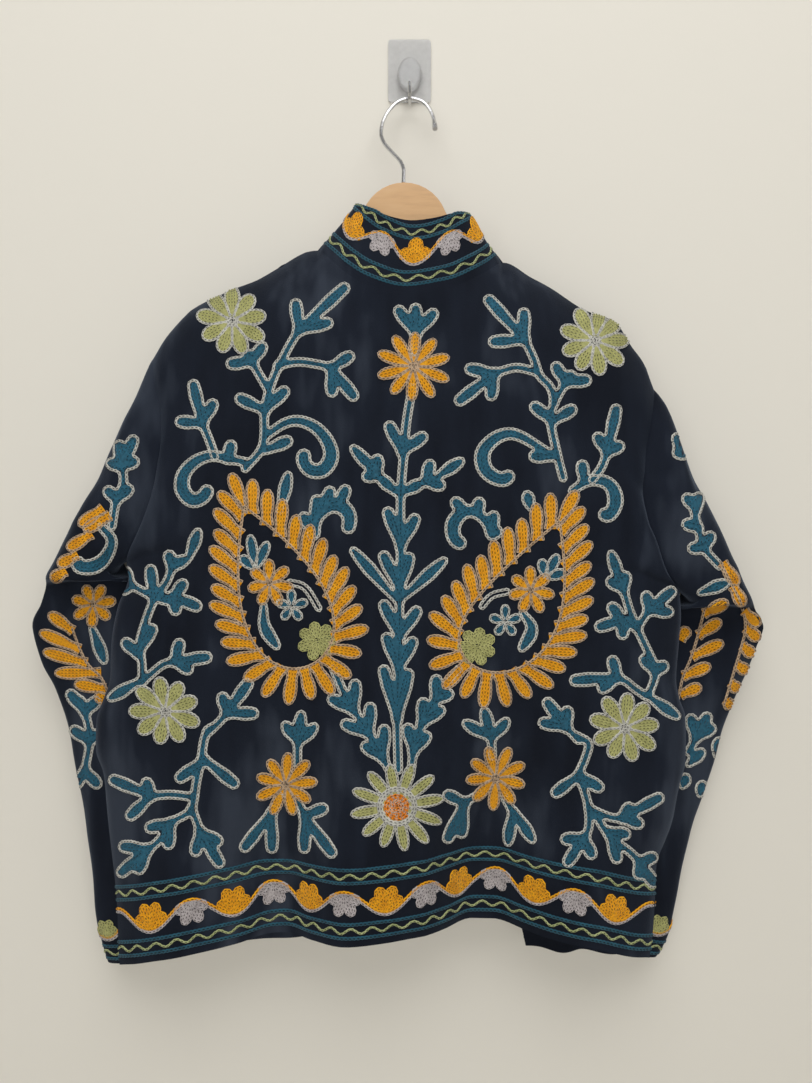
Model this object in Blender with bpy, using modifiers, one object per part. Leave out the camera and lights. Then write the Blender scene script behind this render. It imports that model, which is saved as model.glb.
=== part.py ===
"""Embroidered velvet jacket, seen from its back, on a wooden hanger hung from a small wall hook.

Metres, +Z up. The wall is the plane Y = 0 and the jacket hangs in front of it, toward -Y.
The origin is the middle of the hook plate's back face, where the wall holds everything.
Tables are in millimetres. A column named d is a distance out from the wall, so y = -d.
"""

import math
from collections import namedtuple

import bmesh
import bpy
import numpy as np
from mathutils import Matrix

for old in list(bpy.data.objects):
    bpy.data.objects.remove(old, do_unlink=True)

MM = 0.001
CLOTH = 1.6            # velvet with its embroidery, wall thickness
SEAM = 0.6             # space left between two pieces along a seam's outer face
ARM_SPACE = 0.3        # further space round the armholes, where the sleeves turn away
UNDERARM_SPACE = 1.2   # and at the underarm, where they turn sharply
UNDERARM_REACH = 8     # how closely that keeps to the underarm
SHARP_ANGLE = 50       # degrees between faces that are shaded as an edge
WELD = 0.01

# Cutting of the grid that the panels and sleeves share
ARM_ROWS = 12          # rows from the shoulder tip to the underarm
SIDE_ROWS = 13         # rows from the underarm to the hem
SHOULDER_COLUMNS = 8   # columns from the shoulder tip to the neck point
NECK_COLUMNS = 12      # columns across the back of the neck
FRONT_NECK_COLUMNS = 5  # columns from the neck point to the front edge
COLLAR_ROWS = 4

Top = namedtuple("Top", "x z d")
Arm = namedtuple("Arm", "x z back front")
Side = namedtuple("Side", "x z d")
Hem = namedtuple("Hem", "x z d")
Edge = namedtuple("Edge", "x z d")
Collar = namedtuple("Collar", "at x z d")
Fold = namedtuple("Fold", "x width depth start")
Ring = namedtuple("Ring", "in_x in_z in_d out_x out_z out_d face wall lip")
Fullness = namedtuple("Fullness", "share d")
Bend = namedtuple("Bend", "x z")
Step = namedtuple("Step", "share rise")

# Shoulder seams and back neckline, from the left shoulder tip to the right one
TOP = [
    Top(-231.5, -287, 56), Top(-220.5, -268, 56), Top(-206, -250.5, 56), Top(-193.5, -241.5, 56),
    Top(-165.5, -228.5, 56), Top(-140.5, -217, 56), Top(-83, -190, 56), Top(-79, -194, 65),
    Top(-70, -203, 72), Top(-57, -216, 79), Top(-38, -228.5, 84), Top(-4, -238.5, 88), Top(32, -232.5, 85),
    Top(57, -220.5, 79), Top(71, -211, 72),
    Top(80, -203.5, 65), Top(84, -200.5, 56), Top(111, -215, 56),
    Top(141, -233, 56), Top(160, -243.5, 56), Top(186, -255.5, 56), Top(200.5, -276.5, 56),
    Top(214, -294.5, 56), Top(222, -315, 56),
]
LEFT_NECK_POINT = -83
RIGHT_NECK_POINT = 84

# Armholes, from the shoulder tip to the underarm: back and front are the d of each edge
LEFT_ARM = [
    Arm(-231.5, -287, 56, 56), Arm(-231, -291, 60, 52), Arm(-227, -312, 67, 48), Arm(-221.5, -339, 71, 46),
    Arm(-220.5, -364, 74, 45), Arm(-223.5, -389, 75, 45), Arm(-229, -412.5, 77, 45.5),
    Arm(-237.5, -437, 76, 47), Arm(-248, -458.5, 72, 51), Arm(-253, -468.5, 66, 55),
    Arm(-255, -472, 60, 60),
]
RIGHT_ARM = [
    Arm(222, -315, 56, 56), Arm(221, -319, 60, 52), Arm(214, -347, 69, 48), Arm(209, -376, 72, 46),
    Arm(207, -406.5, 75, 45), Arm(211, -429.5, 75, 45), Arm(218.5, -454, 76, 46),
    Arm(230.5, -483.5, 72, 51), Arm(239.5, -494.5, 66, 55),
    Arm(242.5, -498, 60, 60),
]

# Side seams, from the underarm to the hem
LEFT_SIDE = [
    Side(-255, -472, 60), Side(-253.5, -484, 60), Side(-262, -510, 60), Side(-267.5, -542, 60),
    Side(-269.5, -573, 62), Side(-276.5, -597, 62), Side(-281, -613.5, 62), Side(-282, -640, 62),
    Side(-275, -660, 64), Side(-271, -688, 64), Side(-267.5, -719, 65), Side(-264, -758, 66),
    Side(-260, -793.5, 68), Side(-257.5, -828, 70),
]
RIGHT_SIDE = [
    Side(242.5, -498, 60), Side(244.5, -519.5, 60), Side(242.5, -541, 60), Side(240.5, -578, 61),
    Side(243, -594.5, 62), Side(247, -608, 62), Side(247, -650, 62), Side(242, -671, 63),
    Side(237, -697, 64), Side(229, -719.5, 65), Side(222, -741, 66), Side(219, -770, 67),
    Side(216.5, -793.5, 68), Side(213.5, -822, 70),
]

# Back hem with its two deep valleys and three ridges, from the left seam to the right one
BACK_HEM = [
    Hem(-257.5, -828, 70), Hem(-232, -821, 82), Hem(-205, -815.5, 86), Hem(-152, -807, 76),
    Hem(-122, -803.5, 61), Hem(-111, -803.5, 60), Hem(-87, -804.5, 74), Hem(-54, -804, 90),
    Hem(-21, -801, 90), Hem(9, -798, 84), Hem(30, -797, 69), Hem(56, -794.5, 51),
    Hem(75, -794.5, 52), Hem(103, -799.5, 66), Hem(127, -803, 78), Hem(158, -807.5, 85),
    Hem(195, -818, 78), Hem(213.5, -822, 70),
]
BACK_FOLD_START = 0.60  # how far down the back its hem folds begin, as a share of its height

# Front edges, from the base of the collar to the hem
LEFT_EDGE = [Edge(-30, -256, 41), Edge(-24, -400, 43), Edge(-24, -640, 43), Edge(-32, -803, 43)]
RIGHT_EDGE = [Edge(36, -262, 41), Edge(40, -400, 43), Edge(66, -640, 43), Edge(106, -822, 43)]
FRONT_DEPTH = 43
LEFT_FRONT_FOLDS = [Fold(-190, 20, 9, 0.62), Fold(-105, 22, 8, 0.70), Fold(-55, 14, 6, 0.55)]
RIGHT_FRONT_FOLDS = [Fold(180, 16, 14, 0.55), Fold(137, 14, 15, 0.60)]

# The back's distance from the wall down its middle, by the share of its height
BACK_FULLNESS = [Fullness(0, 84), Fullness(0.15, 92), Fullness(0.4, 97), Fullness(0.7, 96),
                 Fullness(1, 90)]
BACK_EASE = 22         # drop in which the back leaves the shoulder ridge
FRONT_EASE = 7         # drop in which a front leaves it
SECTION_SHOULDER = 2.5  # how square the body's section is where it turns into the side seam
SECTION_ROUND = 0.55
TOP_FADE = 3           # how soon the rows stop following the shoulder line
HEM_FADE = 2           # and how late they start following the hem
NECK_DROP = 3          # how quickly the front neckline comes forward from the neck point

# Stand collar's top edge, along the neck from the left front end to the right one
COLLAR_TOP = [
    Collar(0, -22, -207, 38), Collar(0.14, -44, -178, 40), Collar(0.27, -50, -148.5, 56),
    Collar(0.36, -31, -159, 70), Collar(0.44, -13, -166.5, 74), Collar(0.50, 2, -169, 75),
    Collar(0.57, 22, -166.5, 74), Collar(0.65, 40, -161, 70), Collar(0.74, 54.5, -158.5, 56),
    Collar(0.87, 48, -187, 40), Collar(1, 28, -213, 38),
]

# Sleeves: one row for each ring below the armhole. in is the edge by the body, out the far
# edge, face and wall are the ring's reach toward the viewer and the wall, and lip is how far
# the face side hangs below the ring's middle line, which makes the elbow's overhanging fold.
LEFT_SLEEVE = [
    Ring(-258.8, -475.0, 59, -239.0, -304, 56, 77, 40, 0),
    Ring(-262.0, -477.5, 58, -247.5, -323, 56, 79, 33, 0),
    Ring(-264.5, -479.5, 57, -256.5, -344, 56, 80, 27, 0),
    Ring(-266.0, -481.0, 56, -267.0, -368, 56, 80, 22, 0),
    Ring(-267.0, -482.0, 55, -278.5, -394, 56, 80, 17, -1),
    Ring(-266.0, -482.5, 53, -291.0, -417, 56, 80, 13, -2),
    Ring(-262.0, -483.5, 47, -305.0, -444, 56, 81, 10, -3),
    Ring(-255.0, -485.5, 43, -324.5, -479, 54, 79, 8, -5),
    Ring(-245.0, -490.0, 38, -332.0, -496, 46, 44, 7, 5),
    Ring(-231.0, -502.0, 32, -339.0, -512, 38, 41, 6, 2),
    Ring(-210.0, -522.0, 27, -349.5, -532, 32, 40, 6, 0),
    Ring(-194.0, -552.0, 24, -343.0, -566, 28, 39, 6, 0),
    Ring(-185.0, -586.0, 22, -330.5, -591, 25, 39, 6, 0),
    Ring(-180.0, -620.0, 22, -318.5, -629, 24, 38, 7, 0),
    Ring(-175.0, -660.0, 22, -311.5, -674, 24, 37, 7, 0),
    Ring(-169.0, -706.0, 22, -303.0, -720, 23, 36, 8, 0),
    Ring(-164.0, -753.0, 22, -297.0, -772, 22, 35, 8, 0),
    Ring(-160.0, -793.0, 22, -292.0, -813, 22, 34, 9, 0),
    Ring(-158.0, -825.0, 22, -284.5, -847, 22, 33, 10, -2),
]
RIGHT_SLEEVE = [
    Ring(246.3, -501.0, 59, 231.0, -330, 56, 77, 40, 0),
    Ring(249.5, -503.5, 58, 238.0, -349, 56, 79, 33, 0),
    Ring(252.0, -505.5, 57, 245.5, -369, 56, 80, 27, 0),
    Ring(253.5, -507.0, 56, 254.5, -394, 56, 80, 22, 0),
    Ring(254.5, -508.0, 55, 265.5, -414, 56, 80, 17, -1),
    Ring(254.0, -508.5, 53, 277.5, -442, 56, 80, 13, -2),
    Ring(250.5, -509.5, 47, 290.0, -469, 56, 81, 10, -3),
    Ring(243.0, -511.5, 43, 304.0, -500, 56, 79, 8, -3),
    Ring(233.0, -516.5, 38, 314.0, -519, 55, 46, 7, 5),
    Ring(219.0, -528.5, 32, 321.0, -532, 50, 41, 6, 2),
    Ring(196.0, -548.0, 27, 317.0, -552, 42, 40, 6, 0),
    Ring(172.0, -570.0, 24, 308.0, -580, 34, 39, 6, 0),
    Ring(156.0, -598.0, 22, 298.5, -611, 27, 39, 6, 0),
    Ring(146.0, -637.0, 22, 286.0, -654, 24, 38, 7, 0),
    Ring(136.0, -673.0, 22, 273.5, -695, 24, 37, 7, 0),
    Ring(126.0, -714.0, 22, 259.5, -740, 23, 36, 8, 0),
    Ring(116.0, -755.0, 22, 250.5, -785, 22, 35, 8, 0),
    Ring(108.0, -785.0, 22, 242.0, -818, 22, 34, 9, 0),
    Ring(102.0, -808.0, 22, 232.0, -842, 22, 33, 10, -2),
]
ARMHOLE_MEMORY = [0.75, 0.45, 0.2, 0.05]  # how much of the armhole's curve each first ring keeps
ARMHOLE_FACE = 75      # the armhole's reach toward the viewer and the wall, as a plain ring
ARMHOLE_WALL = 45
RING_SQUARE = 0.75     # how square a sleeve's section is

# Hanger: a flat beech board with a round head, and a steel wire hook
BOARD = 10.5           # thickness
BOARD_D = 56.0         # middle of the board, out from the wall
BOARD_EASE = 10.4      # the arms' tops lie this far under the cloth's shoulder line
BOARD_DIP = 15.0       # and this far under the neck points
BOARD_BEVEL = 4.2
HEAD_CENTRE = (-5.0, -169.8)
HEAD_RADIUS = 39.0
HEAD_ARC = (160, 20)   # degrees, from the left arm's start to the right arm's
HEAD_POINTS = 15
NECK_STEPS = [Step(0.72, 1), Step(0.9, -1), Step(1.02, 0)]  # of the neck point's x, over the dip
ARM_START = 1.25       # where an arm's top starts following the cloth, as a share of the same x
ARM_POINTS = 7
ARM_HEIGHT = 24.0
ARM_TAPER = (0.75, 1.15)  # share of that height at the tip and by the head
ARM_TIPS = (-194.0, 177.0)
ARM_NOSE = (4, 9)      # the tip's rounding stands out this far, this far down
HOOK_WIRE = 3.7
# The wire's middle line, from the head up and over to the open tip
HOOK = [
    Bend(-5.8, -129.8), Bend(-5.6, -123), Bend(-5.4, -115.9), Bend(-8, -107), Bend(-16.3, -95.6),
    Bend(-24, -84.5), Bend(-26.6, -74.9), Bend(-26, -66), Bend(-23.7, -57), Bend(-18.4, -46.5),
    Bend(-10.3, -37.4), Bend(0.4, -33.6), Bend(11.3, -37.0), Bend(19.2, -47.1), Bend(22.7, -59),
    Bend(23.6, -69.4),
]
HOOK_CROWN_D = 16.5
HOOK_CROWN_Z = -33.6
HOOK_FOOT_Z = -129.8
HOOK_POINTS = 34
HOOK_TIP = 1.35        # its end is rounded and a little thicker

# Wall hook: a flat plate, a raised oval on it and a bent wire
PLATE = (41.0, 60.0, 2.0)
PLATE_CORNER = 3.0
PAD = (23.0, 32.0, 8.0)
PAD_Z = -6.3
PEG_WIRE = 3.4
PEG_DEPTH = 6.5
PEG_ARC = 10.0
PEG_TIP_Z = -23.0
PEG_STEPS = 13
PAD_ROUNDING = 3.0
TOUCH = 0.3            # space left where two hard pieces rest on each other
HOOK_SEAT = 0.45       # and between the hanger's wire and the bent wire that carries it


def smooth(xs, ys):
    """A curve through the points that doesn't swing past them."""
    xs = np.asarray(xs, float)
    ys = np.asarray(ys, float)
    step = np.diff(xs)
    rise = np.diff(ys) / step
    slope = np.zeros(len(xs))
    for i in range(1, len(xs) - 1):
        if rise[i - 1] * rise[i] > 0:
            slope[i] = 2 * rise[i - 1] * rise[i] / (rise[i - 1] + rise[i])
    slope[0] = rise[0]
    slope[-1] = rise[-1]

    def at(x):
        i = int(np.clip(np.searchsorted(xs, x) - 1, 0, len(step) - 1))
        t = (x - xs[i]) / step[i]
        a = ys[i] * (1 + 2 * t) * (1 - t) ** 2 + slope[i] * step[i] * t * (1 - t) ** 2
        return a + ys[i + 1] * t * t * (3 - 2 * t) + slope[i + 1] * step[i] * t * t * (t - 1)

    return at


def along(rows, start=0.0):
    """Each column of a table as a smooth curve of the length run, from start to start + 1."""
    points = np.array([(row.x, row.z) for row in rows], float)
    run = np.concatenate(([0], np.cumsum(np.linalg.norm(np.diff(points, axis=0), axis=1))))
    run = start + run / run[-1]
    return {name: smooth(run, [getattr(row, name) for row in rows]) for name in rows[0]._fields}


def across(rows):
    """Each column of a table as a smooth curve of its x."""
    xs = [row.x for row in rows]
    return {name: smooth(xs, [getattr(row, name) for row in rows]) for name in rows[0]._fields}


def down(rows):
    """Each column of a table as a smooth curve of its height z."""
    ordered = rows[::-1]
    zs = [row.z for row in ordered]
    return {name: smooth(zs, [getattr(row, name) for row in ordered]) for name in rows[0]._fields}


def mix(a, b, t):
    return a + (b - a) * t


def ease(t):
    t = min(max(t, 0.0), 1.0)
    return t * t * (3 - 2 * t)


class Flank:
    """One side of the body: its armhole for v from 0 to 1, its side seam for v from 1 to 2."""

    def __init__(self, arm, side):
        self.arm = along(arm)
        self.side = along(side, 1.0)
        self.tip = arm[0]
        self.foot = side[-1]

    def x(self, v):
        return self.arm["x"](v) if v <= 1 else self.side["x"](v)

    def z(self, v):
        return self.arm["z"](v) if v <= 1 else self.side["z"](v)

    def d(self, v, edge):
        return self.arm[edge](v) if v <= 1 else self.side["d"](v)

    def fall(self, v):
        """Share of the height from the shoulder tip to the hem."""
        return (self.z(v) - self.tip.z) / (self.foot.z - self.tip.z)


LEFT = Flank(LEFT_ARM, LEFT_SIDE)
RIGHT = Flank(RIGHT_ARM, RIGHT_SIDE)
SHOULDER_LINE = across(TOP)
HEM_LINE = across(BACK_HEM)
FULLNESS = smooth([row.share for row in BACK_FULLNESS], [row.d for row in BACK_FULLNESS])


def body_section(u):
    """1 in the middle of the body's section, falling to 0 where it turns into a side seam."""
    return (1 - min(abs(u), 1.0) ** SECTION_SHOULDER) ** SECTION_ROUND


def height(edge_z, tip_z, foot_z, top_z, hem_z, fall):
    """A row's height: level with its side edge, bent to the top line above and the hem below."""
    return edge_z + (top_z - tip_z) * (1 - fall) ** TOP_FADE + (hem_z - foot_z) * fall ** HEM_FADE


def back_place(u, v):
    """The back's x and z at a grid place, with the heights of its top line and hem there."""
    part = (u + 1) / 2
    top_z = SHOULDER_LINE["z"](mix(LEFT.x(0), RIGHT.x(0), part))
    hem_z = HEM_LINE["z"](mix(LEFT.x(2), RIGHT.x(2), part))
    z = height(mix(LEFT.z(v), RIGHT.z(v), part), mix(LEFT.tip.z, RIGHT.tip.z, part),
               mix(LEFT.foot.z, RIGHT.foot.z, part), top_z, hem_z,
               mix(LEFT.fall(v), RIGHT.fall(v), part))
    return mix(LEFT.x(v), RIGHT.x(v), part), z, top_z, hem_z


def back_smooth_d(u, v):
    """The back's distance from the wall before its hem folds."""
    part = (u + 1) / 2
    z, top_z, hem_z = back_place(u, v)[1:]
    top_d = SHOULDER_LINE["d"](mix(LEFT.x(0), RIGHT.x(0), part))
    full = FULLNESS((top_z - z) / (top_z - hem_z))
    middle = top_d + (full - top_d) * (1 - math.exp(-(top_z - z) / BACK_EASE))
    edge = mix(LEFT.d(v, "back"), RIGHT.d(v, "back"), part)
    return mix(edge, middle, body_section(u))


def back_point(u, v):
    """The back's outer face: u from -1 at the left to 1 at the right, v from 0 down to 2."""
    x, z, top_z, hem_z = back_place(u, v)
    hem_x = mix(LEFT.x(2), RIGHT.x(2), (u + 1) / 2)
    fold = HEM_LINE["d"](hem_x) - back_smooth_d(u, 2)
    share = (top_z - z) / (top_z - hem_z)
    grown = ease((share - BACK_FOLD_START) / (1 - BACK_FOLD_START))
    return (x, -(back_smooth_d(u, v) + fold * grown), z)


def front_point(flank, edge_rows, folds, s, v):
    """A front's outer face: s from 0 at the side to 1 at the front edge, v from 0 down to 2."""
    neck, hem = edge_rows[0], edge_rows[-1]
    neck_x = LEFT_NECK_POINT if flank is LEFT else RIGHT_NECK_POINT
    neck_s = (neck_x - flank.x(0)) / (neck.x - flank.x(0))
    if s <= neck_s:
        top_x = mix(flank.x(0), neck.x, s)
        top_z = SHOULDER_LINE["z"](top_x)
        top_d = SHOULDER_LINE["d"](top_x)
    else:
        turn = (s - neck_s) / (1 - neck_s) * math.pi / 2
        top_z = mix(neck.z, SHOULDER_LINE["z"](neck_x), 1 - math.sin(turn))
        top_d = mix(neck.d, SHOULDER_LINE["d"](neck_x), (1 - math.sin(turn)) ** NECK_DROP)
    hem_z = mix(flank.foot.z, hem.z, s)
    z = height(flank.z(v), flank.tip.z, flank.foot.z, top_z, hem_z, flank.fall(v))
    share = (top_z - z) / (top_z - hem_z)
    x = mix(flank.x(v), down(edge_rows)["x"](mix(neck.z, hem.z, share)), s)
    middle = top_d + (FRONT_DEPTH - top_d) * (1 - math.exp(-(top_z - z) / FRONT_EASE))
    section = body_section(1 - s)
    d = mix(flank.d(v, "front"), middle, section)
    for fold in folds:
        near = math.exp(-((x - fold.x) / fold.width) ** 2)
        d += fold.depth * near * ease((share - fold.start) / (1 - fold.start)) * section
    return (x, -d, z)


def arm_shares():
    """Row places down the armhole, close together at the shoulder and the underarm."""
    return [(1 - math.cos(math.pi * k / ARM_ROWS)) / 2 for k in range(ARM_ROWS + 1)]


def row_places():
    return arm_shares() + [1 + (k + 1) / SIDE_ROWS for k in range(SIDE_ROWS)]


def back_columns():
    """u of each column, with one column on each neck point."""
    left, right = LEFT.x(0), RIGHT.x(0)
    stops = [left, LEFT_NECK_POINT, RIGHT_NECK_POINT, right]
    shoulder = [(k + 1) / SHOULDER_COLUMNS for k in range(SHOULDER_COLUMNS)]
    neck = [(1 - math.cos(math.pi * (k + 1) / NECK_COLUMNS)) / 2 for k in range(NECK_COLUMNS)]
    xs = [left]
    for a, b, shares in zip(stops[:-1], stops[1:], (shoulder, neck, shoulder)):
        xs += [mix(a, b, share) for share in shares]
    return [2 * (x - left) / (right - left) - 1 for x in xs]


def front_columns(flank, edge_rows):
    """s of each column, with one column on the neck point."""
    neck_x = LEFT_NECK_POINT if flank is LEFT else RIGHT_NECK_POINT
    neck_s = (neck_x - flank.x(0)) / (edge_rows[0].x - flank.x(0))
    first = [mix(0, neck_s, k / SHOULDER_COLUMNS) for k in range(SHOULDER_COLUMNS + 1)]
    quarter = [(k + 1) / FRONT_NECK_COLUMNS * math.pi / 2 for k in range(FRONT_NECK_COLUMNS)]
    return first + [mix(neck_s, 1, 1 - math.cos(turn)) for turn in quarter]


def back_grid():
    return np.array([[back_point(u, v) for u in back_columns()] for v in row_places()])


def front_grid(flank, edge_rows, folds):
    columns = front_columns(flank, edge_rows)
    return np.array([[front_point(flank, edge_rows, folds, s, v) for s in columns]
                     for v in row_places()])


def collar_grid(back, left, right):
    """The collar from its seam on the neckline up to its top edge."""
    first = SHOULDER_COLUMNS
    base = list(left[0, :first:-1]) + list(back[0, first:first + NECK_COLUMNS + 1])
    base += list(right[0, first + 1:])
    base = np.array(base)
    run = np.concatenate(([0], np.cumsum(np.linalg.norm(np.diff(base, axis=0), axis=1))))
    run /= run[-1]
    top = {name: smooth([row.at for row in COLLAR_TOP], [getattr(row, name) for row in COLLAR_TOP])
           for name in ("x", "z", "d")}
    rows = []
    for k in range(COLLAR_ROWS + 1):
        rise = k / COLLAR_ROWS
        rows.append([mix(base[i], np.array((top["x"](t), -top["d"](t), top["z"](t))), rise)
                     for i, t in enumerate(run)])
    return np.array(rows)


def ring_point(ring, turn):
    """A ring's point: turn is 0 at the body edge, goes over the face side, half way at the far edge."""
    far = (1 - math.cos(turn)) / 2
    side = math.sin(turn)
    x = mix(ring.in_x, ring.out_x, far)
    z = mix(ring.in_z, ring.out_z, far)
    d = mix(ring.in_d, ring.out_d, far)
    middle_d = mix(ring.in_d, ring.out_d, 0.5)
    if side >= 0:
        d += (ring.face - middle_d) * side ** RING_SQUARE
        z += ring.lip * side
    else:
        d += (ring.wall - middle_d) * (-side) ** RING_SQUARE
    return np.array((x, -d, z))


def sleeve_grid(rings, back_edge, front_edge):
    """The sleeve as closed rings, the first on the armhole of the back and the front."""
    armhole = list(back_edge[::-1]) + list(front_edge[1:-1])
    count = len(armhole)
    turns = [2 * math.pi * k / count for k in range(count)]
    tip, underarm = back_edge[0], back_edge[-1]
    flat = Ring(underarm[0], underarm[2], -underarm[1], tip[0], tip[2], -tip[1],
                ARMHOLE_FACE, ARMHOLE_WALL, 0)
    rest = [armhole[k] - ring_point(flat, turns[k]) for k in range(count)]
    grid = [armhole]
    for i, ring in enumerate(rings):
        keep = ARMHOLE_MEMORY[i] if i < len(ARMHOLE_MEMORY) else 0
        grid.append([ring_point(ring, turns[k]) + keep * rest[k] for k in range(count)])
    return np.array(grid)


def cell_corners(grid, closed):
    """Each cell's four grid places, in order round it."""
    rows, columns = grid.shape[:2]
    last = columns if closed else columns - 1
    for r in range(rows - 1):
        for c in range(last):
            n = (c + 1) % columns
            yield ((r, c), (r + 1, c), (r + 1, n), (r, n))


def shared_normals(pieces):
    """Outward normals at every grid point, the same on both sides of each seam."""
    sums = {}

    def place(point):
        return tuple(np.round(point, 3))

    for grid, closed, sign in pieces.values():
        for corners in cell_corners(grid, closed):
            a, b, c, d = (grid[corner] for corner in corners)
            normal = sign * np.cross(c - a, d - b)
            for point in (a, b, c, d):
                sums[place(point)] = sums.get(place(point), 0) + normal
    normals = {}
    for name, (grid, closed, sign) in pieces.items():
        flat = np.array([sums[place(p)] for p in grid.reshape(-1, 3)])
        flat /= np.linalg.norm(flat, axis=1)[:, None]
        normals[name] = flat.reshape(grid.shape)
    return normals


def away(border, inner, closed):
    """Unit steps from a border's points into the piece, square to the border."""
    if closed:
        run = np.roll(border, -1, axis=0) - np.roll(border, 1, axis=0)
    else:
        run = np.gradient(border, axis=0)
    run /= np.linalg.norm(run, axis=1)[:, None]
    step = inner - border
    step -= np.sum(step * run, axis=1)[:, None] * run
    return step / np.linalg.norm(step, axis=1)[:, None]


def draw_in(grid, closed):
    """The grid with its borders drawn in by half a seam's space."""
    last_row, last_column = grid.shape[0] - 1, grid.shape[1] - 1
    shift = np.zeros_like(grid)
    for r, inner in ((0, 1), (last_row, last_row - 1)):
        shift[r] += away(grid[r], grid[inner], closed)
    if closed:
        turns = np.linspace(0, 2 * math.pi, grid.shape[1], endpoint=False)
        near_underarm = np.clip(np.cos(turns), 0, 1) ** UNDERARM_REACH
        shift[0] *= (1 + 2 * (ARM_SPACE + UNDERARM_SPACE * near_underarm) / SEAM)[:, None]
    if not closed:
        for c, inner in ((0, 1), (last_column, last_column - 1)):
            shift[:, c] += away(grid[:, c], grid[:, inner], False)
    return grid + shift * SEAM / 2


def shell(name, grid, normals, closed, sign, material):
    """A cloth wall: the grid, the grid moved in by the cloth's thickness, and the rims."""
    outer = draw_in(grid, closed)
    inner = outer - normals * CLOTH
    rows, columns = grid.shape[:2]
    work = bmesh.new()
    top = [[work.verts.new(outer[r, c] * MM) for c in range(columns)] for r in range(rows)]
    low = [[work.verts.new(inner[r, c] * MM) for c in range(columns)] for r in range(rows)]
    for corners in cell_corners(grid, closed):
        face = [top[r][c] for r, c in corners]
        back = [low[r][c] for r, c in reversed(corners)]
        work.faces.new(face if sign > 0 else face[::-1])
        work.faces.new(back if sign > 0 else back[::-1])
    last = columns if closed else columns - 1
    for r, turn in ((0, 1), (rows - 1, -1)):
        for c in range(last):
            n = (c + 1) % columns
            rim = [top[r][c], top[r][n], low[r][n], low[r][c]]
            work.faces.new(rim if turn * sign > 0 else rim[::-1])
    if not closed:
        for c, turn in ((0, -1), (columns - 1, 1)):
            for r in range(rows - 1):
                rim = [top[r][c], top[r + 1][c], low[r + 1][c], low[r][c]]
                work.faces.new(rim if turn * sign > 0 else rim[::-1])
    mesh = bpy.data.meshes.new(name)
    work.to_mesh(mesh)
    work.free()
    mesh.shade_smooth()
    mesh.set_sharp_from_angle(angle=math.radians(SHARP_ANGLE))
    return add(bpy.data.objects.new(name, mesh), material)


def surface(name, colour, roughness, metallic=0.0):
    made = bpy.data.materials.new(name)
    made.use_nodes = True
    shader = made.node_tree.nodes["Principled BSDF"]
    shader.inputs["Base Color"].default_value = (*colour, 1)
    shader.inputs["Roughness"].default_value = roughness
    shader.inputs["Metallic"].default_value = metallic
    return made


def add(thing, material):
    thing.data.materials.append(material)
    jacket.objects.link(thing)
    return thing


def wire(name, points, diameter, material, taper=None):
    """A round wire along a smooth line through the points, with filled ends."""
    curve = bpy.data.curves.new(name, "CURVE")
    curve.dimensions = "3D"
    curve.bevel_depth = diameter / 2 * MM
    curve.bevel_resolution = 2
    curve.use_fill_caps = True
    line = curve.splines.new("POLY")
    line.points.add(len(points) - 1)
    for place, point in zip(line.points, points):
        place.co = (*(value * MM for value in point), 1)
    for place, factor in (taper or {}).items():
        line.points[place].radius = factor
    return add(bpy.data.objects.new(name, curve), material)


def through(points, count):
    """Points on a smooth line through a short list of points."""
    points = np.asarray(points, float)
    run = np.concatenate(([0], np.cumsum(np.linalg.norm(np.diff(points, axis=0), axis=1))))
    ways = [smooth(run, points[:, axis]) for axis in range(points.shape[1])]
    return [tuple(way(t) for way in ways) for t in np.linspace(0, run[-1], count)]


def board_outline():
    """The hanger board's outline in x and z: round head, then each arm out and back under."""
    cx, cz = HEAD_CENTRE
    points = []
    for turn in np.radians(np.linspace(*HEAD_ARC, HEAD_POINTS)):
        points.append((cx + HEAD_RADIUS * math.cos(turn), cz + HEAD_RADIUS * math.sin(turn)))
    for tip, neck in ((ARM_TIPS[1], RIGHT_NECK_POINT), (ARM_TIPS[0], LEFT_NECK_POINT)):
        way = 1 if tip > 0 else -1
        dip_z = SHOULDER_LINE["z"](neck) - BOARD_DIP
        top = [(neck * step.share, dip_z + step.rise) for step in NECK_STEPS]
        top += [(x, SHOULDER_LINE["z"](x) - BOARD_EASE)
                for x in np.linspace(neck * ARM_START, tip, ARM_POINTS)]
        low = [(x, z - ARM_HEIGHT * mix(*ARM_TAPER, k / len(top)))
               for k, (x, z) in enumerate(top[:0:-1])]
        out, drop = ARM_NOSE
        arm = top + [(tip + out * way, SHOULDER_LINE["z"](tip) - BOARD_EASE - drop)] + low
        points += arm if way > 0 else arm[::-1]
    return points


def build_cloth(velvet):
    back = back_grid()
    left = front_grid(LEFT, LEFT_EDGE, LEFT_FRONT_FOLDS)
    right = front_grid(RIGHT, RIGHT_EDGE, RIGHT_FRONT_FOLDS)
    rows = ARM_ROWS + 1
    # name: grid, whether its columns close into a ring, which way its cells face
    pieces = {
        "back": (back, False, 1),
        "front_left": (left, False, -1),
        "front_right": (right, False, 1),
        "collar": (collar_grid(back, left, right), False, -1),
        "sleeve_left": (sleeve_grid(LEFT_SLEEVE, back[:rows, 0], left[:rows, 0]), True, -1),
        "sleeve_right": (sleeve_grid(RIGHT_SLEEVE, back[:rows, -1], right[:rows, 0]), True, 1),
    }
    normals = shared_normals(pieces)
    for name, (grid, closed, sign) in pieces.items():
        shell(name, grid, normals[name], closed, sign, velvet)


def round_edges(thing, width, segments, angle):
    rounding = thing.modifiers.new("rounding", "BEVEL")
    rounding.width = width * MM
    rounding.segments = segments
    rounding.limit_method = "ANGLE"
    rounding.angle_limit = math.radians(angle)


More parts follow.
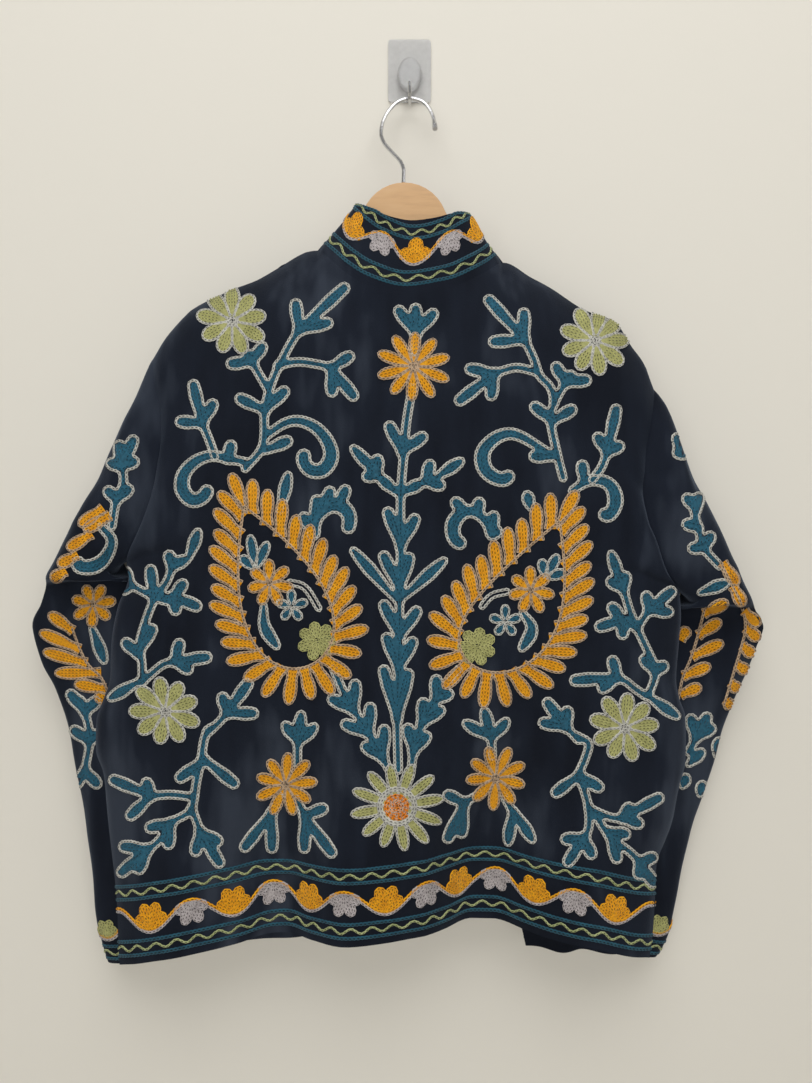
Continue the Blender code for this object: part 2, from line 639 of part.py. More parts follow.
def build_hanger(beech, steel):
    outline = board_outline()
    curve = bpy.data.curves.new("hanger_board", "CURVE")
    curve.dimensions = "2D"
    curve.fill_mode = "BOTH"
    curve.extrude = BOARD / 2 * MM
    line = curve.splines.new("POLY")
    line.points.add(len(outline) - 1)
    for place, (x, z) in zip(line.points, outline):
        place.co = (x * MM, z * MM, 0, 1)
    line.use_cyclic_u = True
    flat = bpy.data.objects.new("hanger_outline", curve)
    jacket.objects.link(flat)
    mesh = bpy.data.meshes.new_from_object(flat.evaluated_get(bpy.context.evaluated_depsgraph_get()))
    bpy.data.objects.remove(flat, do_unlink=True)
    work = bmesh.new()
    work.from_mesh(mesh)
    bmesh.ops.remove_doubles(work, verts=work.verts, dist=WELD * MM)
    work.to_mesh(mesh)
    work.free()
    board = bpy.data.objects.new("hanger_board", mesh)
    board.rotation_euler = (math.radians(90), 0, 0)
    board.location = (0, -BOARD_D * MM, 0)
    round_edges(board, BOARD_BEVEL, 2, 60)
    add(board, beech)

    slope = (BOARD_D - HOOK_CROWN_D) / (HOOK_FOOT_Z - HOOK_CROWN_Z)
    hook = [(x, -(HOOK_CROWN_D + (z - HOOK_CROWN_Z) * slope), z)
            for x, z in through(HOOK, HOOK_POINTS)]
    wire("hanger_hook", hook, HOOK_WIRE, steel, {-1: HOOK_TIP, -2: HOOK_TIP})


def primitive(name, material, size, place):
    """Takes the primitive just added, gives it its real size and puts it in the jacket's collection."""
    thing = bpy.context.object
    thing.name = name
    thing.data.name = name
    thing.data.transform(Matrix.Diagonal((*(value * MM for value in size), 1)))
    thing.location = [value * MM for value in place]
    for home in list(thing.users_collection):
        home.objects.unlink(thing)
    return add(thing, material)


def build_wall_hook(clear, steel):
    width, height, thick = PLATE
    bpy.ops.mesh.primitive_cube_add(size=1)
    plate = primitive("wall_plate", clear, (width, thick, height), (0, -thick / 2, 0))
    work = bmesh.new()
    work.from_mesh(plate.data)
    upright = [e for e in work.edges if abs(e.verts[0].co.y - e.verts[1].co.y) > thick / 2 * MM]
    bmesh.ops.bevel(work, geom=upright, offset=PLATE_CORNER * MM, segments=4, profile=0.5,
                    affect="EDGES")
    work.to_mesh(plate.data)
    work.free()

    pad_width, pad_height, pad_depth = PAD
    bpy.ops.mesh.primitive_cylinder_add(vertices=36, radius=0.5, depth=1)
    bpy.context.object.data.transform(Matrix.Rotation(math.radians(90), 4, "X"))
    pad_y = -(thick + TOUCH + pad_depth / 2)
    pad = primitive("wall_pad", clear, (pad_width, pad_depth, pad_height), (0, pad_y, PAD_Z))
    round_edges(pad, PAD_ROUNDING, 3, 50)

    arc_d = PEG_DEPTH + PEG_ARC
    arc_z = HOOK_CROWN_Z - (HOOK_WIRE + PEG_WIRE) / 2 - HOOK_SEAT + PEG_ARC
    peg = [(0, -PEG_DEPTH, PAD_Z - pad_height / 2 - TOUCH)]
    for turn in np.linspace(math.pi, 2 * math.pi, PEG_STEPS):
        peg.append((0, -(arc_d + PEG_ARC * math.cos(turn)), arc_z + PEG_ARC * math.sin(turn)))
    peg.append((0, -(arc_d + PEG_ARC), PEG_TIP_Z))
    wire("wall_peg", peg, PEG_WIRE, steel)


jacket = bpy.data.collections.new("embroidered_velvet_jacket")
bpy.context.scene.collection.children.link(jacket)

velvet = surface("velvet", (0.012, 0.014, 0.02), 0.85)
beech = surface("beech", (0.62, 0.38, 0.2), 0.35)
steel = surface("steel", (0.6, 0.6, 0.6), 0.3, 1.0)
clear = surface("clear_plastic", (0.75, 0.76, 0.76), 0.25)

build_cloth(velvet)
build_hanger(beech, steel)
build_wall_hook(clear, steel)
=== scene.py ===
# %% [markdown]
# # Embroidered velvet jacket: its looks
# A short black-navy velvet jacket, seen from its back, hangs on a wooden hanger from a small wall
# hook. Its chain-stitch embroidery covers the back and the sleeves.
#
# The imported solids come in as the frame. Cloth and embroidery are modelled here in their
# place, in metres, with the wall as the plane Y = 0 and the viewer toward -Y. Tables are in
# millimetres, and a column named d is a distance out from the wall, so y = -d.

import math
from collections import namedtuple

import bpy
import numpy as np
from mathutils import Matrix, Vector
from mathutils.bvhtree import BVHTree


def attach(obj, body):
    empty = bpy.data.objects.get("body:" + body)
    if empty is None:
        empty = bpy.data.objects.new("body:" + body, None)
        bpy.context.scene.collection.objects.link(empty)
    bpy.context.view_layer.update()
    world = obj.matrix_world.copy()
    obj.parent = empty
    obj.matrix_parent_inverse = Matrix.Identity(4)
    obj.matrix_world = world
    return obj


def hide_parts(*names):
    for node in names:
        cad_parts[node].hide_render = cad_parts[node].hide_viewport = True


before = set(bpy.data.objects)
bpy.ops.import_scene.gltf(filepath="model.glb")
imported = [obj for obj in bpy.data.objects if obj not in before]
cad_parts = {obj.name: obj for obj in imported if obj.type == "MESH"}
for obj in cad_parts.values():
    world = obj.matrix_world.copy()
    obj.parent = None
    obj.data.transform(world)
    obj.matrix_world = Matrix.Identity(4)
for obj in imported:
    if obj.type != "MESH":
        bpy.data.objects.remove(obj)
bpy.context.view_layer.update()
MM = 0.001

# %% [markdown]
# ## Camera
# The picture was taken from straight in front, a little under a metre from the wall, with a wide
# lens. A longer lens from further away would not line the sleeves and the hanger up with it.

# %% Camera
LENS = 30.0              # mm on the sensor
SENSOR = 36              # mm
EYE = Vector((-0.0034, -0.870, -0.4528))

camera = bpy.data.cameras.new("camera")
camera.lens = LENS
camera.sensor_width = SENSOR
camera.clip_start = 0.02
eye = bpy.data.objects.new("camera", camera)
eye.location = EYE
eye.rotation_euler = (math.radians(90), 0, 0)
bpy.context.scene.collection.objects.link(eye)
bpy.context.scene.camera = eye
print("camera", [round(v, 3) for v in EYE], "lens", LENS)

# %% [markdown]
# ## Room
# A cream wall carries the hook and a floor lies far under the hem. Both are single faces, and a
# light noise bump stands for the paint roller's texture.


# %% Room
def add_object(name, data):
    thing = bpy.data.objects.new(name, data)
    bpy.context.scene.collection.objects.link(thing)
    return thing


def slab(name, corners, material):
    """One plain face through four corners, in metres."""
    mesh = bpy.data.meshes.new(name)
    mesh.from_pydata(corners, [], [(0, 1, 2, 3)])
    mesh.materials.append(material)
    return add_object(name, mesh)


def set_inputs(node, values):
    """Sets the node's inputs by name, and gives the node back."""
    for name, value in values.items():
        node.inputs[name].default_value = value
    return node


def new_material(name, values):
    """A material, its node tree and its shader with the given inputs."""
    material = bpy.data.materials.new(name)
    material.use_nodes = True
    shader = material.node_tree.nodes["Principled BSDF"]
    return material, material.node_tree, set_inputs(shader, values)


def add_node(tree, kind, **settings):
    node = tree.nodes.new("ShaderNode" + kind)
    for key, value in settings.items():
        setattr(node, key, value)
    return node


def object_place(tree):
    return add_node(tree, "TexCoord").outputs["Object"]


def noise(tree, vector, scale, detail=2.0, roughness=0.5):
    node = set_inputs(add_node(tree, "TexNoise"),
                      {"Scale": scale, "Detail": detail, "Roughness": roughness})
    tree.links.new(vector, node.inputs["Vector"])
    return node.outputs["Fac"]


def add_bump(tree, shader, height, strength, distance):
    """Bends the shader's normal by a height."""
    bump = set_inputs(add_node(tree, "Bump"), {"Strength": strength, "Distance": distance})
    tree.links.new(height, bump.inputs["Height"])
    tree.links.new(bump.outputs["Normal"], shader.inputs["Normal"])


def painted_wall():
    """Cream wall paint with a faint roller texture."""
    material, tree, shader = new_material("wall_paint",
                                          {"Base Color": (0.71, 0.68, 0.61, 1), "Roughness": 0.75})
    add_bump(tree, shader, noise(tree, object_place(tree), 90, 3), 0.12, 0.0006)
    return material


WALL_Y = 0.0006          # just behind the hook plate's own face
FLOOR_Z = -1.45
CEILING_Z = 2.2
REACH = 4                # how far the room goes to each side and forward
paint = painted_wall()
wall = slab("wall", [(-REACH, WALL_Y, FLOOR_Z), (REACH, WALL_Y, FLOOR_Z),
                     (REACH, WALL_Y, CEILING_Z), (-REACH, WALL_Y, CEILING_Z)], paint)
floor = slab("floor", [(-REACH, WALL_Y, FLOOR_Z), (-REACH, -REACH, FLOOR_Z),
                       (REACH, -REACH, FLOOR_Z), (REACH, WALL_Y, FLOOR_Z)], paint)
print("room from", FLOOR_Z, "to", CEILING_Z)

# %% [markdown]
# ## Light
# A wide ceiling lamp gives the folds their shade, and a large one behind the viewer stands for the
# rest of the room. The plain colour view keeps the wool's colours as they are.

# %% Light
Lamp = namedtuple("Lamp", "name x y z width height watts")
LAMPS = [
    Lamp("ceiling", 0.1, -1.5, 1.25, 2.4, 1.6, 33),
    Lamp("room", -0.2, -3.4, -0.8, 3.2, 2.6, 59),
]
AIM = Vector((0, 0, -0.45))

for row in LAMPS:
    light = bpy.data.lights.new(row.name, "AREA")
    light.shape = "RECTANGLE"
    light.size = row.width
    light.size_y = row.height
    light.energy = row.watts
    lamp = add_object(row.name, light)
    lamp.location = (row.x, row.y, row.z)
    lamp.rotation_euler = (AIM - lamp.location).to_track_quat("-Z", "Y").to_euler()

world = bpy.data.worlds.new("studio")
world.use_nodes = True
set_inputs(world.node_tree.nodes["Background"], {"Color": (1.0, 0.985, 0.95, 1), "Strength": 0.21})
bpy.context.scene.world = world
bpy.context.scene.view_settings.view_transform = "Standard"
print("lamps", len(LAMPS))

# %% [markdown]
# ## The jacket's cut and the way it hangs
# The tables give the body's seams and edges as they hang: the top line over the hanger, the
# armholes, the side seams and the hem with its two deep valleys. The same tables made the solids.
# Here they are sampled finely, so that the cloth rolls smoothly.

# %% Seams and edges of the body
ARM_ROWS = 40            # rows from the shoulder tip to the underarm
SIDE_ROWS = 84           # rows from the underarm to the hem
SHOULDER_COLUMNS = 40    # columns from the shoulder tip to the neck point
NECK_COLUMNS = 36        # columns across the back of the neck
FRONT_NECK_COLUMNS = 14  # columns from the neck point to the front edge

Top = namedtuple("Top", "x z d")
Arm = namedtuple("Arm", "x z back front")
Side = namedtuple("Side", "x z d")
Hem = namedtuple("Hem", "x z d")
Edge = namedtuple("Edge", "x z d")
Fold = namedtuple("Fold", "x width depth start")
Fullness = namedtuple("Fullness", "share d")

# Shoulder seams and back neckline, from the left shoulder tip to the right one
TOP = [
    Top(-231.5, -287, 56), Top(-220.5, -268, 56), Top(-206, -250.5, 56), Top(-193.5, -241.5, 56),
    Top(-165.5, -228.5, 56), Top(-140.5, -217, 56), Top(-83, -190, 56), Top(-79, -194, 65),
    Top(-70, -203, 72), Top(-57, -216, 79), Top(-38, -228.5, 84), Top(-4, -238.5, 88), Top(32, -232.5, 85),
    Top(57, -220.5, 79), Top(71, -211, 72),
    Top(80, -203.5, 65), Top(84, -200.5, 56), Top(111, -215, 56),
    Top(141, -233, 56), Top(160, -243.5, 56), Top(186, -255.5, 56), Top(200.5, -276.5, 56),
    Top(214, -294.5, 56), Top(222, -315, 56),
]
LEFT_NECK_POINT = -83
RIGHT_NECK_POINT = 84

# Armholes, from the shoulder tip to the underarm: back and front are the d of each edge
LEFT_ARM = [
    Arm(-231.5, -287, 56, 56), Arm(-231, -291, 60, 52), Arm(-227, -312, 67, 48), Arm(-221.5, -339, 71, 46),
    Arm(-220.5, -364, 74, 45), Arm(-223.5, -389, 75, 45), Arm(-229, -412.5, 77, 45.5),
    Arm(-237.5, -437, 76, 47), Arm(-248, -458.5, 72, 51), Arm(-253, -468.5, 66, 55),
    Arm(-255, -472, 60, 60),
]
RIGHT_ARM = [
    Arm(222, -315, 56, 56), Arm(221, -319, 60, 52), Arm(214, -347, 69, 48), Arm(209, -376, 72, 46),
    Arm(207, -406.5, 75, 45), Arm(211, -429.5, 75, 45), Arm(218.5, -454, 76, 46),
    Arm(230.5, -483.5, 72, 51), Arm(239.5, -494.5, 66, 55),
    Arm(242.5, -498, 60, 60),
]

# Side seams, from the underarm to the hem
LEFT_SIDE = [
    Side(-255, -472, 60), Side(-253.5, -484, 60), Side(-262, -510, 60), Side(-267.5, -542, 60),
    Side(-269.5, -573, 62), Side(-276.5, -597, 62), Side(-281, -613.5, 62), Side(-282, -640, 62),
    Side(-275, -660, 64), Side(-271, -688, 64), Side(-267.5, -719, 65), Side(-264, -758, 66),
    Side(-260, -793.5, 68), Side(-257.5, -828, 70),
]
RIGHT_SIDE = [
    Side(242.5, -498, 60), Side(244.5, -519.5, 60), Side(242.5, -541, 60), Side(240.5, -578, 61),
    Side(243, -594.5, 62), Side(247, -608, 62), Side(247, -650, 62), Side(242, -671, 63),
    Side(237, -697, 64), Side(229, -719.5, 65), Side(222, -741, 66), Side(219, -770, 67),
    Side(216.5, -793.5, 68), Side(213.5, -822, 70),
]

# Back hem with its two deep valleys and three ridges, from the left seam to the right one
BACK_HEM = [
    Hem(-257.5, -828, 70), Hem(-232, -821, 82), Hem(-205, -815.5, 86), Hem(-152, -807, 76),
    Hem(-122, -803.5, 61), Hem(-111, -803.5, 60), Hem(-87, -804.5, 74), Hem(-54, -804, 90),
    Hem(-21, -801, 90), Hem(9, -798, 84), Hem(30, -797, 69), Hem(56, -794.5, 51),
    Hem(75, -794.5, 52), Hem(103, -799.5, 66), Hem(127, -803, 78), Hem(158, -807.5, 85),
    Hem(195, -818, 78), Hem(213.5, -822, 70),
]
BACK_FOLD_START = 0.60  # how far down the back its hem folds begin, as a share of its height

# Front edges, from the base of the collar to the hem
LEFT_EDGE = [Edge(-30, -256, 41), Edge(-24, -400, 43), Edge(-24, -640, 43), Edge(-32, -803, 43)]
RIGHT_EDGE = [Edge(36, -262, 41), Edge(40, -400, 43), Edge(66, -640, 43), Edge(106, -822, 43)]
FRONT_DEPTH = 43
LEFT_FRONT_FOLDS = [Fold(-190, 20, 9, 0.62), Fold(-105, 22, 8, 0.70), Fold(-55, 14, 6, 0.55)]
RIGHT_FRONT_FOLDS = [Fold(180, 16, 14, 0.55), Fold(137, 14, 15, 0.60)]

# The back's distance from the wall down its middle, by the share of its height
BACK_FULLNESS = [Fullness(0, 84), Fullness(0.15, 92), Fullness(0.4, 97), Fullness(0.7, 96),
                 Fullness(1, 90)]
BACK_EASE = 22         # drop in which the back leaves the shoulder ridge
FRONT_EASE = 7         # drop in which a front leaves it
SECTION_SHOULDER = 2.5  # how square the body's section is where it turns into the side seam
SECTION_ROUND = 0.55
TOP_FADE = 3           # how soon the rows stop following the shoulder line
HEM_FADE = 2           # and how late they start following the hem
NECK_DROP = 3          # how quickly the front neckline comes forward from the neck point
print("top line", len(TOP), "places, hem", len(BACK_HEM))

# %% [markdown]
# ## Collar and sleeve tables
# The collar is given by its top edge, as its foot is the neckline. A sleeve lies half flat and folds
# over itself at the elbow, which a bent pipe can't do, so it is a stack of rings listed one by one.

# %% Collar's edge and sleeves' rings
COLLAR_ROWS = 14
RING_STEPS = 6           # rows from one ring of a sleeve to the next

Collar = namedtuple("Collar", "at x z d")
Ring = namedtuple("Ring", "in_x in_z in_d out_x out_z out_d face wall lip")

# Stand collar's top edge, along the neck from the left front end to the right one
COLLAR_TOP = [
    Collar(0, -22, -207, 38), Collar(0.14, -44, -178, 40), Collar(0.27, -50, -148.5, 56),
    Collar(0.36, -31, -159, 70), Collar(0.44, -13, -166.5, 74), Collar(0.50, 2, -169, 75),
    Collar(0.57, 22, -166.5, 74), Collar(0.65, 40, -161, 70), Collar(0.74, 54.5, -158.5, 56),
    Collar(0.87, 48, -187, 40), Collar(1, 28, -213, 38),
]

# Sleeves: one row for each ring below the armhole. in is the edge by the body, out the far
# edge, face and wall are the ring's reach toward the viewer and the wall, and lip is how far
# the face side hangs below the ring's middle line, which makes the elbow's overhanging fold.
LEFT_SLEEVE = [
    Ring(-258.8, -475.0, 59, -239.0, -304, 56, 77, 40, 0),
    Ring(-262.0, -477.5, 58, -247.5, -323, 56, 79, 33, 0),
    Ring(-264.5, -479.5, 57, -256.5, -344, 56, 80, 27, 0),
    Ring(-266.0, -481.0, 56, -267.0, -368, 56, 80, 22, 0),
    Ring(-267.0, -482.0, 55, -278.5, -394, 56, 80, 17, -1),
    Ring(-266.0, -482.5, 53, -291.0, -417, 56, 80, 13, -2),
    Ring(-262.0, -483.5, 47, -305.0, -444, 56, 81, 10, -3),
    Ring(-255.0, -485.5, 43, -324.5, -479, 54, 79, 8, -5),
    Ring(-245.0, -490.0, 38, -332.0, -496, 46, 44, 7, 5),
    Ring(-231.0, -502.0, 32, -339.0, -512, 38, 41, 6, 2),
    Ring(-210.0, -522.0, 27, -349.5, -532, 32, 40, 6, 0),
    Ring(-194.0, -552.0, 24, -343.0, -566, 28, 39, 6, 0),
    Ring(-185.0, -586.0, 22, -330.5, -591, 25, 39, 6, 0),
    Ring(-180.0, -620.0, 22, -318.5, -629, 24, 38, 7, 0),
    Ring(-175.0, -660.0, 22, -311.5, -674, 24, 37, 7, 0),
    Ring(-169.0, -706.0, 22, -303.0, -720, 23, 36, 8, 0),
    Ring(-164.0, -753.0, 22, -297.0, -772, 22, 35, 8, 0),
    Ring(-160.0, -793.0, 22, -292.0, -813, 22, 34, 9, 0),
    Ring(-158.0, -825.0, 22, -284.5, -847, 22, 33, 10, -2),
]
RIGHT_SLEEVE = [
    Ring(246.3, -501.0, 59, 231.0, -330, 56, 77, 40, 0),
    Ring(249.5, -503.5, 58, 238.0, -349, 56, 79, 33, 0),
    Ring(252.0, -505.5, 57, 245.5, -369, 56, 80, 27, 0),
    Ring(253.5, -507.0, 56, 254.5, -394, 56, 80, 22, 0),
    Ring(254.5, -508.0, 55, 265.5, -414, 56, 80, 17, -1),
    Ring(254.0, -508.5, 53, 277.5, -442, 56, 80, 13, -2),
    Ring(250.5, -509.5, 47, 290.0, -469, 56, 81, 10, -3),
    Ring(243.0, -511.5, 43, 304.0, -500, 56, 79, 8, -3),
    Ring(233.0, -516.5, 38, 314.0, -519, 55, 46, 7, 5),
    Ring(219.0, -528.5, 32, 321.0, -532, 50, 41, 6, 2),
    Ring(196.0, -548.0, 27, 317.0, -552, 42, 40, 6, 0),
    Ring(172.0, -570.0, 24, 308.0, -580, 34, 39, 6, 0),
    Ring(156.0, -598.0, 22, 298.5, -611, 27, 39, 6, 0),
    Ring(146.0, -637.0, 22, 286.0, -654, 24, 38, 7, 0),
    Ring(136.0, -673.0, 22, 273.5, -695, 24, 37, 7, 0),
    Ring(126.0, -714.0, 22, 259.5, -740, 23, 36, 8, 0),
    Ring(116.0, -755.0, 22, 250.5, -785, 22, 35, 8, 0),
    Ring(108.0, -785.0, 22, 242.0, -818, 22, 34, 9, 0),
    Ring(102.0, -808.0, 22, 232.0, -842, 22, 33, 10, -2),
]
ARMHOLE_MEMORY = [0.75, 0.45, 0.2, 0.05]  # how much of the armhole's curve each first ring keeps
ARMHOLE_FACE = 75      # the armhole's reach toward the viewer and the wall, as a plain ring
ARMHOLE_WALL = 45
RING_SQUARE = 0.75     # how square a sleeve's section is
print("rings", len(LEFT_SLEEVE), len(RIGHT_SLEEVE))

# %% [markdown]
# ## Curves through the tables
# A seam hangs in an even sweep, so each column of a table becomes a smooth curve, of a kind that
# never swings past its points as a plain spline does.

# %% Curves
def smooth(xs, ys):
    """A curve through the points that doesn't swing past them."""
    xs = np.asarray(xs, float)
    ys = np.asarray(ys, float)
    step = np.diff(xs)
    rise = np.diff(ys) / step
    slope = np.zeros(len(xs))
    for i in range(1, len(xs) - 1):
        if rise[i - 1] * rise[i] > 0:
            slope[i] = 2 * rise[i - 1] * rise[i] / (rise[i - 1] + rise[i])
    slope[0] = rise[0]
    slope[-1] = rise[-1]

    def at(x):
        i = int(np.clip(np.searchsorted(xs, x) - 1, 0, len(step) - 1))
        t = (x - xs[i]) / step[i]
        a = ys[i] * (1 + 2 * t) * (1 - t) ** 2 + slope[i] * step[i] * t * (1 - t) ** 2
        return a + ys[i + 1] * t * t * (3 - 2 * t) + slope[i + 1] * step[i] * t * t * (t - 1)

    return at


def run_length(points):
    """The length run from the first point to each one."""
    return np.concatenate(([0], np.cumsum(np.linalg.norm(np.diff(points, axis=0), axis=1))))


def curves(keys, rows):
    """Each column of a table as a smooth curve over the keys."""
    return {name: smooth(keys, [getattr(row, name) for row in rows]) for name in rows[0]._fields}


def along(rows, start=0.0):
    """A table's curves over the length run, from start to start + 1."""
    run = run_length(np.array([(row.x, row.z) for row in rows], float))
    return curves(start + run / run[-1], rows)


def across(rows):
    """A table's curves over its x."""
    return curves([row.x for row in rows], rows)


def down(rows):
    """A table's curves over its height z."""
    return curves([row.z for row in rows[::-1]], rows[::-1])


def mix(a, b, t):
    return a + (b - a) * t


def ease(t):
    t = min(max(t, 0.0), 1.0)
    return t * t * (3 - 2 * t)


class Flank:
    """One side of the body: its armhole for v from 0 to 1, its side seam for v from 1 to 2."""

    def __init__(self, arm, side):
        self.arm = along(arm)
        self.side = along(side, 1.0)
        self.tip = arm[0]
        self.foot = side[-1]

    def x(self, v):
        return self.arm["x"](v) if v <= 1 else self.side["x"](v)

    def z(self, v):
        return self.arm["z"](v) if v <= 1 else self.side["z"](v)

    def d(self, v, edge):
        return self.arm[edge](v) if v <= 1 else self.side["d"](v)

    def fall(self, v):
        """Share of the height from the shoulder tip to the hem."""
        return (self.z(v) - self.tip.z) / (self.foot.z - self.tip.z)


LEFT = Flank(LEFT_ARM, LEFT_SIDE)
RIGHT = Flank(RIGHT_ARM, RIGHT_SIDE)
SHOULDER_LINE = across(TOP)
HEM_LINE = across(BACK_HEM)
FULLNESS = curves([row.share for row in BACK_FULLNESS], BACK_FULLNESS)["d"]
print("body's height at its sides", round(LEFT.tip.z - LEFT.foot.z), round(RIGHT.tip.z - RIGHT.foot.z))

# %% [markdown]
# ## Back and fronts
# Each panel is a grid from its top line to its hem. A cloth simulation would make folds of its own,
# so the fullness, the section and the hem's folds are given.


# %% Back and fronts
def body_section(u):
    """1 in the middle of the body's section, falling to 0 where it turns into a side seam."""
    return (1 - min(abs(u), 1.0) ** SECTION_SHOULDER) ** SECTION_ROUND


def height(edge_z, tip_z, foot_z, top_z, hem_z, fall):
    """A row's height: level with its side edge, bent to the top line above and the hem below."""
    return edge_z + (top_z - tip_z) * (1 - fall) ** TOP_FADE + (hem_z - foot_z) * fall ** HEM_FADE


def back_place(u, v):
    """The back's x and z at a grid place, with the heights of its top line and hem there."""
    part = (u + 1) / 2
    top_z = SHOULDER_LINE["z"](mix(LEFT.x(0), RIGHT.x(0), part))
    hem_z = HEM_LINE["z"](mix(LEFT.x(2), RIGHT.x(2), part))
    z = height(mix(LEFT.z(v), RIGHT.z(v), part), mix(LEFT.tip.z, RIGHT.tip.z, part),
               mix(LEFT.foot.z, RIGHT.foot.z, part), top_z, hem_z,
               mix(LEFT.fall(v), RIGHT.fall(v), part))
    return mix(LEFT.x(v), RIGHT.x(v), part), z, top_z, hem_z


def back_smooth_d(u, v):
    """The back's distance from the wall before its hem folds."""
    part = (u + 1) / 2
    z, top_z, hem_z = back_place(u, v)[1:]
    top_d = SHOULDER_LINE["d"](mix(LEFT.x(0), RIGHT.x(0), part))
    full = FULLNESS((top_z - z) / (top_z - hem_z))
    middle = top_d + (full - top_d) * (1 - math.exp(-(top_z - z) / BACK_EASE))
    edge = mix(LEFT.d(v, "back"), RIGHT.d(v, "back"), part)
    return mix(edge, middle, body_section(u))


def back_point(u, v):
    """The back's outer face: u from -1 at the left to 1 at the right, v from 0 down to 2."""
    x, z, top_z, hem_z = back_place(u, v)
    hem_x = mix(LEFT.x(2), RIGHT.x(2), (u + 1) / 2)
    fold = HEM_LINE["d"](hem_x) - back_smooth_d(u, 2)
    share = (top_z - z) / (top_z - hem_z)
    grown = ease((share - BACK_FOLD_START) / (1 - BACK_FOLD_START))
    return (x, -(back_smooth_d(u, v) + fold * grown), z)


def neck_place(flank, neck):
    """The neck point's x on this side, and its share of the way to the front edge."""
    x = LEFT_NECK_POINT if flank is LEFT else RIGHT_NECK_POINT
    return x, (x - flank.x(0)) / (neck.x - flank.x(0))


def front_point(flank, edge_rows, folds, s, v):
    """A front's outer face: s from 0 at the side to 1 at the front edge, v from 0 down to 2."""
    neck, hem = edge_rows[0], edge_rows[-1]
    neck_x, neck_s = neck_place(flank, neck)
    if s <= neck_s:
        top_x = mix(flank.x(0), neck.x, s)
        top_z = SHOULDER_LINE["z"](top_x)
        top_d = SHOULDER_LINE["d"](top_x)
    else:
        turn = (s - neck_s) / (1 - neck_s) * math.pi / 2
        top_z = mix(neck.z, SHOULDER_LINE["z"](neck_x), 1 - math.sin(turn))
        top_d = mix(neck.d, SHOULDER_LINE["d"](neck_x), (1 - math.sin(turn)) ** NECK_DROP)
    hem_z = mix(flank.foot.z, hem.z, s)
    z = height(flank.z(v), flank.tip.z, flank.foot.z, top_z, hem_z, flank.fall(v))
    share = (top_z - z) / (top_z - hem_z)
    x = mix(flank.x(v), down(edge_rows)["x"](mix(neck.z, hem.z, share)), s)
    middle = top_d + (FRONT_DEPTH - top_d) * (1 - math.exp(-(top_z - z) / FRONT_EASE))
    section = body_section(1 - s)
    d = mix(flank.d(v, "front"), middle, section)
    for fold in folds:
        near = math.exp(-((x - fold.x) / fold.width) ** 2)
        d += fold.depth * near * ease((share - fold.start) / (1 - fold.start)) * section
    return (x, -d, z)


def arm_shares():
    """Row places down the armhole, a little closer together at the shoulder and the underarm."""
    shares = [k / ARM_ROWS for k in range(ARM_ROWS + 1)]
    return [mix(share, (1 - math.cos(math.pi * share)) / 2, 0.35) for share in shares]


def row_places():
    return arm_shares() + [1 + (k + 1) / SIDE_ROWS for k in range(SIDE_ROWS)]


def back_columns():
    """u of each column, with one column on each neck point."""
    left, right = LEFT.x(0), RIGHT.x(0)
    stops = [left, LEFT_NECK_POINT, RIGHT_NECK_POINT, right]
    shoulder = [(k + 1) / SHOULDER_COLUMNS for k in range(SHOULDER_COLUMNS)]
    neck = [(1 - math.cos(math.pi * (k + 1) / NECK_COLUMNS)) / 2 for k in range(NECK_COLUMNS)]
    xs = [left]
    for a, b, shares in zip(stops[:-1], stops[1:], (shoulder, neck, shoulder)):
        xs += [mix(a, b, share) for share in shares]
    return [2 * (x - left) / (right - left) - 1 for x in xs]


def front_columns(flank, edge_rows):
    """s of each column, with one column on the neck point."""
    neck_s = neck_place(flank, edge_rows[0])[1]
    first = [mix(0, neck_s, k / SHOULDER_COLUMNS) for k in range(SHOULDER_COLUMNS + 1)]
    quarter = [(k + 1) / FRONT_NECK_COLUMNS * math.pi / 2 for k in range(FRONT_NECK_COLUMNS)]
    return first + [mix(neck_s, 1, 1 - math.cos(turn)) for turn in quarter]


def back_grid():
    return np.array([[back_point(u, v) for u in back_columns()] for v in row_places()])


def front_grid(flank, edge_rows, folds):
    columns = front_columns(flank, edge_rows)
    return np.array([[front_point(flank, edge_rows, folds, s, v) for s in columns]
                     for v in row_places()])


back = back_grid()
left_front = front_grid(LEFT, LEFT_EDGE, LEFT_FRONT_FOLDS)
right_front = front_grid(RIGHT, RIGHT_EDGE, RIGHT_FRONT_FOLDS)
print("back", back.shape, "fronts", left_front.shape, right_front.shape)

# %% [markdown]
# ## Collar and sleeves
# The collar stands on the neckline of the panels and each sleeve on its armhole, point for point,
# so that the seams close.


# %% Collar and sleeves
def collar_grid(back, left, right):
    """The collar from its seam on the neckline up to its top edge."""
    first = SHOULDER_COLUMNS
    base = np.concatenate((left[0, :first:-1], back[0, first:first + NECK_COLUMNS + 1],
                           right[0, first + 1:]))
    run = run_length(base)
    run /= run[-1]
    top = curves([row.at for row in COLLAR_TOP], COLLAR_TOP)
    rows = []
    for k in range(COLLAR_ROWS + 1):
        rise = k / COLLAR_ROWS
        rows.append([mix(base[i], np.array((top["x"](t), -top["d"](t), top["z"](t))), rise)
                     for i, t in enumerate(run)])
    return np.array(rows)


def ring_point(ring, turn):
    """A ring's point: turn is 0 at the body edge, goes over the face side, half way at the far edge."""
    far = (1 - math.cos(turn)) / 2
    side = math.sin(turn)
    x = mix(ring.in_x, ring.out_x, far)
    z = mix(ring.in_z, ring.out_z, far)
    d = mix(ring.in_d, ring.out_d, far)
    middle_d = mix(ring.in_d, ring.out_d, 0.5)
    if side >= 0:
        d += (ring.face - middle_d) * side ** RING_SQUARE
        z += ring.lip * side
    else:
        d += (ring.wall - middle_d) * (-side) ** RING_SQUARE
    return np.array((x, -d, z))


